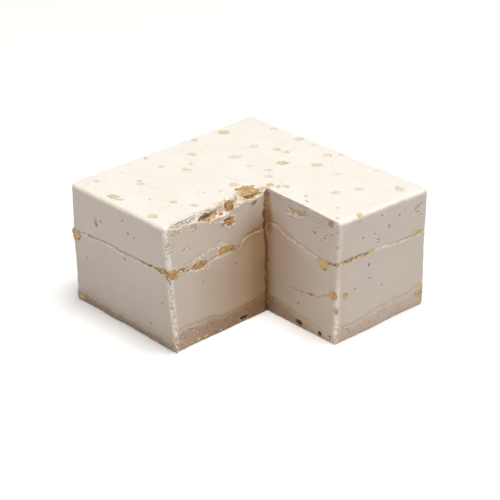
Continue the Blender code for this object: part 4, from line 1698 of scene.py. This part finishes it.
# %% Flakes
# The pixel in a flake's middle, its width and height in pixels, and its paleness.
FLAKES = (
    (224, 132.4, 12, 4, 0.3), (195.2, 140.2, 7, 2.5, 0.6), (191.8, 154.4, 9, 3, 0.6),
    (146.2, 158.4, 5, 2.5, 0.9), (161.2, 166.4, 7, 2, 0.8), (190.2, 163.9, 5, 1.5, 0.9),
    (186, 169.7, 10, 2.5, 0.6), (121.4, 173, 3, 1.2, 0.8), (96, 181.3, 8, 1.2, 0.9),
    (139.6, 180.5, 6, 2, 0.7), (141.3, 183.8, 8, 3, 0.6), (113.1, 196.5, 13, 4.5, 0.2),
    (119.7, 199.6, 10, 1.6, 0.3), (174, 201.8, 9, 3, 0.6), (194, 205.5, 9, 3, 0.6),
    (153.6, 216.3, 12, 4, 0.4), (234, 157, 16, 3, 0.8), (249, 165.9, 6, 2, 0.9),
    (254, 146.8, 8, 3, 0.9), (274, 128.6, 7, 2.5, 0.6), (299, 139, 9, 3.5, 0.7),
    (278, 149.5, 8, 2.4, 0.4), (286, 152, 7, 2.4, 0.4), (282, 162.8, 12, 4, 0.2),
    (268.9, 169.8, 7, 2, 0.7), (268.9, 176.5, 10, 2.5, 0.7), (271, 184.7, 7, 3.4, 0.0),
    (278, 186.5, 6, 3, 0.2), (287, 186.3, 6, 3, 0.5), (282, 181.9, 3, 2, 0.3),
    (233.9, 184.7, 9, 4, 0.6), (327.9, 155.2, 9, 3, 0.7), (340.3, 154.4, 5, 1.8, 0.8),
    (317.1, 165, 11, 3, 0.4), (313, 145.3, 6, 2, 1.0), (375.9, 170.9, 6, 1.8, 0.9),
    (337.8, 174.2, 3, 2, 0.7), (359, 189.3, 10, 2.8, 0.9), (336, 192.5, 9, 3, 0.8),
    (400, 189, 11, 4, 0.6), (305.8, 195.8, 3, 1.6, 0.3), (306, 201.4, 3, 1.6, 0.4),
    (338, 207.6, 3, 1.6, 0.3), (336.6, 218.3, 4, 2, 0.3), (359, 214.8, 6, 3, 0.3),
    (203.4, 192.4, 2.6, 1.4, 0.6), (220.7, 191.3, 3, 1.4, 0.7), (149.6, 199.5, 3, 1.8, 0.2),
)
FLAKE_THICKNESS, FLAKE_PROUD = 0.6, 0.03
FLAKE_RAGGEDNESS = 2.2
FLAKE_NOISE = 1.3  # in bumps for each mm
FLAKE_TURN = 0.3  # at most, in radians
FLAKE_INPUTS = {
    "Thickness": "NodeSocketFloat", "Raggedness": "NodeSocketFloat",
    "Material": "NodeSocketMaterial",
}

# %% The tree of the flakes
def named_number(tree, name):
    """A number that the points keep."""
    inputs = {"Name": name}
    return add(tree, "GeometryNodeInputNamedAttribute", inputs, data_type="FLOAT").outputs[0]


def flake_tree():
    """A thin ragged disc on each point, as long, wide and turned as the point says."""
    tree, given = new_tree("nut_flakes", FLAKE_INPUTS)
    disc = add(tree, "GeometryNodeMeshCylinder", {"Vertices": 20, "Radius": 0.5, "Depth": 1.0})
    size = add(tree, "ShaderNodeCombineXYZ", {
        "X": named_number(tree, "length"), "Y": named_number(tree, "width"), "Z": given["Thickness"],
    })
    turn = add(tree, "ShaderNodeCombineXYZ", {"Z": named_number(tree, "turn")})
    rotation = add(tree, "FunctionNodeEulerToRotation", {0: turn.outputs[0]})
    placed = add(tree, "GeometryNodeInstanceOnPoints", {
        "Points": given["Geometry"], "Instance": disc.outputs["Mesh"],
        "Rotation": rotation.outputs[0], "Scale": size.outputs[0],
    })
    flakes = placed.outputs[0]
    finish_tree(tree, flakes, given["Raggedness"], FLAKE_NOISE, given["Material"], True)
    return tree


# %% The points of the flakes
def flake_points():
    """A point for each flake, with its length across the picture, its width and its turn."""
    places, lengths, widths, turns = [], [], [], []
    draw = random.Random("flakes")
    for x, y, wide, tall, _ in FLAKES:
        middle = on_top(x, y)
        lengths.append((on_top(x + wide / 2, y) - on_top(x - wide / 2, y)).length)
        widths.append((on_top(x, y + tall / 2) - on_top(x, y - tall / 2)).length)
        turns.append(YAW + draw.uniform(-FLAKE_TURN, FLAKE_TURN))
        places.append((middle.x, middle.y, HEIGHT - FLAKE_THICKNESS / 2 + FLAKE_PROUD))
    mesh = bpy.data.meshes.new("flake_points")
    mesh.from_pydata(places, [], [])
    paleness = [flake[4] for flake in FLAKES]
    for name, values in (
        ("length", lengths), ("width", widths), ("turn", turns), ("paleness", paleness)
    ):
        keep_values(mesh, name, values)
    return mesh


# %% Grow the flakes
flake_values = {
    "Thickness": FLAKE_THICKNESS, "Raggedness": FLAKE_RAGGEDNESS, "Material": flake_material,
}
flake_mesh = grown("flakes", flake_points(), flake_tree(), flake_values)
place_piece("nut_flakes", flake_mesh, flake_material)

# %% [markdown]
# Crumbs
#
# Where the nougat tore, crumbs cling to it: along the lips of the seam, down the crumbly corner,
# over the broken edge and on the foot. Three trees make them. One follows lines, one covers a
# surface as thickly as an attribute says, and one fills the rough patches point by point. All
# end in the same small rough balls.

# %% Crumb trees
CRUMB_INPUTS = {
    "Smallest": "NodeSocketFloat", "Largest": "NodeSocketFloat", "Seed": "NodeSocketInt",
    "Material": "NodeSocketMaterial",
}


CRUMB_RAGGEDNESS, CRUMB_NOISE = 0.35, 2.2


def crumbs_on(tree, points, given):
    """Puts a rough little ball on each point."""
    ball = add(tree, "GeometryNodeMeshUVSphere", {"Segments": 8, "Rings": 5, "Radius": 0.5})
    seed = given["Seed"]
    size = random_number(tree, given["Smallest"], given["Largest"], seed)
    shape = random_arrow(tree, (0.6, 0.6, 0.5), (1.4, 1.4, 1.0), seed)
    turn = random_arrow(tree, (0.0, 0.0, 0.0), (math.tau, math.tau, math.tau), seed)
    rotation = add(tree, "FunctionNodeEulerToRotation", {0: turn})
    placed = add(tree, "GeometryNodeInstanceOnPoints", {
        "Points": points, "Instance": ball.outputs["Mesh"], "Rotation": rotation.outputs[0],
        "Scale": scaled(tree, shape, size),
    })
    toned = random_tones(tree, placed.outputs[0], seed)
    finish_tree(tree, toned, CRUMB_RAGGEDNESS, CRUMB_NOISE, given["Material"])


def line_crumb_tree():
    """Crumbs at even steps along lines, each moved a little aside."""
    extra = {"Spacing": "NodeSocketFloat", "Stray": "NodeSocketFloat"}
    tree, given = new_tree("crumbs_along_lines", {**extra, **CRUMB_INPUTS})
    line = add(tree, "GeometryNodeMeshToCurve", {"Mesh": given["Geometry"]}).outputs[0]
    inputs = {"Curve": line, "Length": given["Spacing"]}
    points = add(tree, "GeometryNodeResampleCurve", inputs, mode="LENGTH").outputs[0]
    aside = random_arrow(tree, (-1.0, -1.0, -1.0), (1.0, 1.0, 1.0), given["Seed"])
    inputs = {"Geometry": points, "Offset": scaled(tree, aside, given["Stray"])}
    crumbs_on(tree, add(tree, "GeometryNodeSetPosition", inputs).outputs[0], given)
    return tree


def spot_crumb_tree():
    """A crumb on each point."""
    tree, given = new_tree("crumbs_on_spots", CRUMB_INPUTS)
    crumbs_on(tree, given["Geometry"], given)
    return tree


def surface_crumb_tree():
    """Crumbs over a surface, as thick as its own numbers say."""
    tree, given = new_tree("crumbs_on_surface", {"Density": "NodeSocketFloat", **CRUMB_INPUTS})
    thick = math_node(tree, "MULTIPLY", named_number(tree, "crumbs"), given["Density"])
    inputs = {"Mesh": given["Geometry"], "Density": thick, "Seed": given["Seed"]}
    spots = add(tree, "GeometryNodeDistributePointsOnFaces", inputs).outputs["Points"]
    crumbs_on(tree, spots, given)
    return tree


# %% Lines for crumbs
def line_mesh(name, lines):
    """A mesh of edges that run along lines of places."""
    places, edges = [], []
    for line in lines:
        edges += [(len(places) + i, len(places) + i + 1) for i in range(len(line) - 1)]
        places += [tuple(place) for place in line]
    mesh = bpy.data.meshes.new(name)
    mesh.from_pydata(places, edges, [])
    return mesh


line_crumbs = line_crumb_tree()
spot_crumbs = spot_crumb_tree()
surface_crumbs = surface_crumb_tree()
print("trees:", ", ".join(tree.name for tree in (line_crumbs, spot_crumbs, surface_crumbs)))

# %% Crumbs along the seam and the corner
LIP_DROP = 0.3  # how far under the seam the crumbs of its lip lie
LIP_STEPS = 40
seam_walls = [(wall, pixels[0][0], pixels[-1][0]) for wall, pixels in SEAM_PIXELS.items()]
seam_walls += [(wall, 0.02, 0.98) for wall in HIDDEN_SEAM]
seam_lips = [
    [
        seam_place(wall, along) - Vector((0, 0, LIP_DROP))
        for along in np.linspace(start, end, LIP_STEPS)
    ]
    for wall, start, end in seam_walls
]
UNDER_TEAR = 1.6  # in pixels
tear_wall, tear_pixels = CRACKS["upper_tear"]
upper_tear = [on_wall(tear_wall, x, y + UNDER_TEAR) for x, y in tear_pixels]
corner_lines = [
    [upright_edge("cut_front", height) for height in (0.5, 8.0, 17.0)],
    [upright_edge("cut_front", height) for height in (21.5, 26.0, 30.0)],
]
# Pale crumbs line some rims: the pixels along each.
BRIGHT_RIMS = (
    (
        (191, 223.4), (199, 222), (206, 221.8), (214, 222.2), (221.6, 221.6), (227.7, 227),
        (237.6, 221.6),
    ),
    (
        (191, 224), (199, 222.6), (206, 222.4), (214, 222.8), (221.6, 222.4), (227.7, 227.6),
        (236, 223),
    ),
    ((237.6, 192), (243, 199.4), (250.6, 200.9), (258, 197.6), (262, 195.4), (265.5, 190)),
    ((196, 269.5), (206.5, 268), (212, 262)), ((218, 254.6), (228, 253.4), (233, 249.6)),
    ((190, 266), (197, 259.5), (203, 255.5), (213, 249), (222, 245)),
    ((237, 249.5), (241, 245), (244, 239.5), (248, 236.4), (254, 233.6), (262, 232)),
    ((287, 213.5), (293, 215.8), (299, 218), (306, 217.6)),
)

# %% Grow the crumbs along lines
def surface_line(pixels):
    """Places on the surface under a line of pixels, two pixels apart."""
    line = []
    for (x0, y0), (x1, y1) in zip(pixels, pixels[1:]):
        count = max(1, round(math.hypot(x1 - x0, y1 - y0) / 2))
        for share in np.arange(count) / count:
            line.append(on_surface(x0 + (x1 - x0) * share, y0 + (y1 - y0) * share))
    return line


bright_rims = [surface_line(pixels) for pixels in BRIGHT_RIMS]
crumb_meshes = []
for name, lines, spacing, stray, sizes in (
    ("lip", seam_lips, 0.7, 0.2, (0.15, 0.45)),
    ("tear", [upper_tear], 0.9, 0.3, (0.15, 0.4)),
    ("rims", bright_rims, 0.3, 0.14, (0.15, 0.5)),
    ("corner", corner_lines, 0.4, 0.38, (0.2, 0.55)),
):
    values = {"Spacing": spacing, "Stray": stray, "Smallest": sizes[0], "Largest": sizes[1],
              "Seed": 11, "Material": crumb_finish}
    crumb_meshes.append(grown(name, line_mesh(name, lines), line_crumbs, values))
print([len(mesh.polygons) for mesh in crumb_meshes], "faces of crumbs")

# %% Crumbs on the broken edge and the foot
top_mesh, foot_mesh = layer_meshes["top_layer"], layer_meshes["foot_layer"]
top_places = positions(top_mesh)
EDGE_X, EDGE_REACH, EDGE_LOW = 4.0, 5.5, 25.0  # where the broken edge is, in mm
by_edge = np.abs(top_places[:, 0] - EDGE_X) < EDGE_REACH
broken = (kept_values(top_mesh, "rimmed") > 0.5) & by_edge & (top_places[:, 2] > EDGE_LOW)
keep_values(top_mesh, "crumbs", broken.astype(float))
values = {"Density": 0.8, "Smallest": 0.2, "Largest": 0.6, "Seed": 3, "Material": crumb_finish}
crumb_meshes.append(grown("edge_crumbs", top_mesh.copy(), surface_crumbs, values))
foot_walls = (np.abs(normals_of(foot_mesh)[:, 2]) < 0.5) & (positions(foot_mesh)[:, 2] > 0.4)
keep_values(foot_mesh, "crumbs", foot_walls.astype(float))
values = {"Density": 0.22, "Smallest": 0.2, "Largest": 0.5, "Seed": 5, "Material": foot_material}
foot_grains = grown("foot_grains", foot_mesh.copy(), surface_crumbs, values)

# %% Bits of nut in the gaps
nut_lines = [
    [seam_place(wall, along) for along in np.linspace(start, end, 12)]
    for wall, start, end, high, deep, tint in GROOVES if tint == 1.0
]
values = {"Spacing": 0.45, "Stray": 0.22, "Smallest": 0.3, "Largest": 0.8, "Seed": 8,
          "Material": nut_material}
nut_bits = grown("nut_bits", line_mesh("nut_lines", nut_lines), line_crumbs, values)
# The nut bits keep how much painted shade they get near the inner corner of the cut.
keep_values(nut_bits, "corner", corner_shade(positions(nut_bits)))
nut_bits.shade_smooth()
place_piece("nut_bits", nut_bits, nut_material)

# %% Crumbs on the rough patches
draw = random.Random("patches")
spots = []
for wall, box, count in PATCHES:
    for _ in range(count):
        spot = on_surface(draw.uniform(box[0], box[2]), draw.uniform(box[1], box[3]))
        if spot:
            spots.append(spot)
spot_mesh = bpy.data.meshes.new("spots")
spot_mesh.from_pydata(spots, [], [])
values = {"Smallest": 0.16, "Largest": 0.4, "Seed": 21, "Material": crumb_finish}
crumb_meshes.append(grown("patch_crumbs", spot_mesh, spot_crumbs, values))

# %% Place the crumbs
crumb_mesh = joined("nougat_crumbs", crumb_meshes)
# The crumbs keep how much painted shade they get near the inner corner of the cut.
keep_values(crumb_mesh, "corner", corner_shade(positions(crumb_mesh)))
crumb_mesh.shade_smooth()
place_piece("nougat_crumbs", crumb_mesh, crumb_finish)
# So do the foot's grains.
keep_values(foot_grains, "corner", corner_shade(positions(foot_grains)))
foot_grains.shade_smooth()
place_piece("foot_grains", foot_grains, foot_material)

# %% [markdown]
# Floor, light and sky
#
# A plain studio: a pale floor, one broad soft lamp overhead and a weaker one in front. The lamp
# overhead makes the top the brightest side. The floor throws light back on the walls, and the
# front lamp picks out their worn edges and crumbs.

# %% Floor and light
floor_mesh = bpy.data.meshes.new("floor")
floor_mesh.from_pydata([(-3, -3, 0), (3, -3, 0), (3, 3, 0), (-3, 3, 0)], [], [(0, 1, 2, 3)])
floor_material, floor_tree = new_finish("pale_floor")
floor_tree.nodes["Principled BSDF"].inputs["Base Color"].default_value = (0.95, 0.945, 0.94, 1.0)
floor_tree.nodes["Principled BSDF"].inputs["Roughness"].default_value = 0.9
floor_mesh.materials.append(floor_material)
floor = bpy.data.objects.new("floor", floor_mesh)
bpy.context.scene.collection.objects.link(floor)
floor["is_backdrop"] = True

# %% Lamps
def add_lamp(name, place, aim, size, power, colour):
    """A square soft lamp, in metres, that looks at a point."""
    data = bpy.data.lights.new(name, "AREA")
    data.shape = "SQUARE"
    data.size = size
    data.energy = power
    data.color = colour
    lamp = bpy.data.objects.new(name, data)
    lamp.location = place
    lamp.rotation_euler = (Vector(aim) - Vector(place)).to_track_quat("-Z", "Y").to_euler()
    bpy.context.scene.collection.objects.link(lamp)
    print(name, power, "watts")


LAMP_COLOUR = (1.0, 0.99, 0.97)
add_lamp("front_fill", (1.01, -0.97, 0.77), (0, 0, 0.015), 1.0, 7.0, LAMP_COLOUR)
add_lamp("overhead", (0.24, 0.05, 2.0), (0, 0, 0), 1.0, 45.0, LAMP_COLOUR)
world = bpy.data.worlds.new("studio")
world.use_nodes = True
sky = world.node_tree.nodes["Background"]
sky.inputs["Color"].default_value = (1.0, 0.98, 0.95, 1.0)
sky.inputs["Strength"].default_value = 0.03
bpy.context.scene.world = world
bpy.context.scene.view_settings.view_transform = "Standard"

# %% [markdown]
# Keep the sizes and finish
#
# The size of the imported model and the size of what was made here are kept side by side, and the
# size of what was made is printed.

# %% Keep the sizes and finish
dressed_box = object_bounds()
sizes = {
    "cad": [list(corner) for corner in cad_box],
    "visual": [list(corner) for corner in dressed_box],
}
print("visual box", [[round(c / MM, 2) for c in corner] for corner in dressed_box])
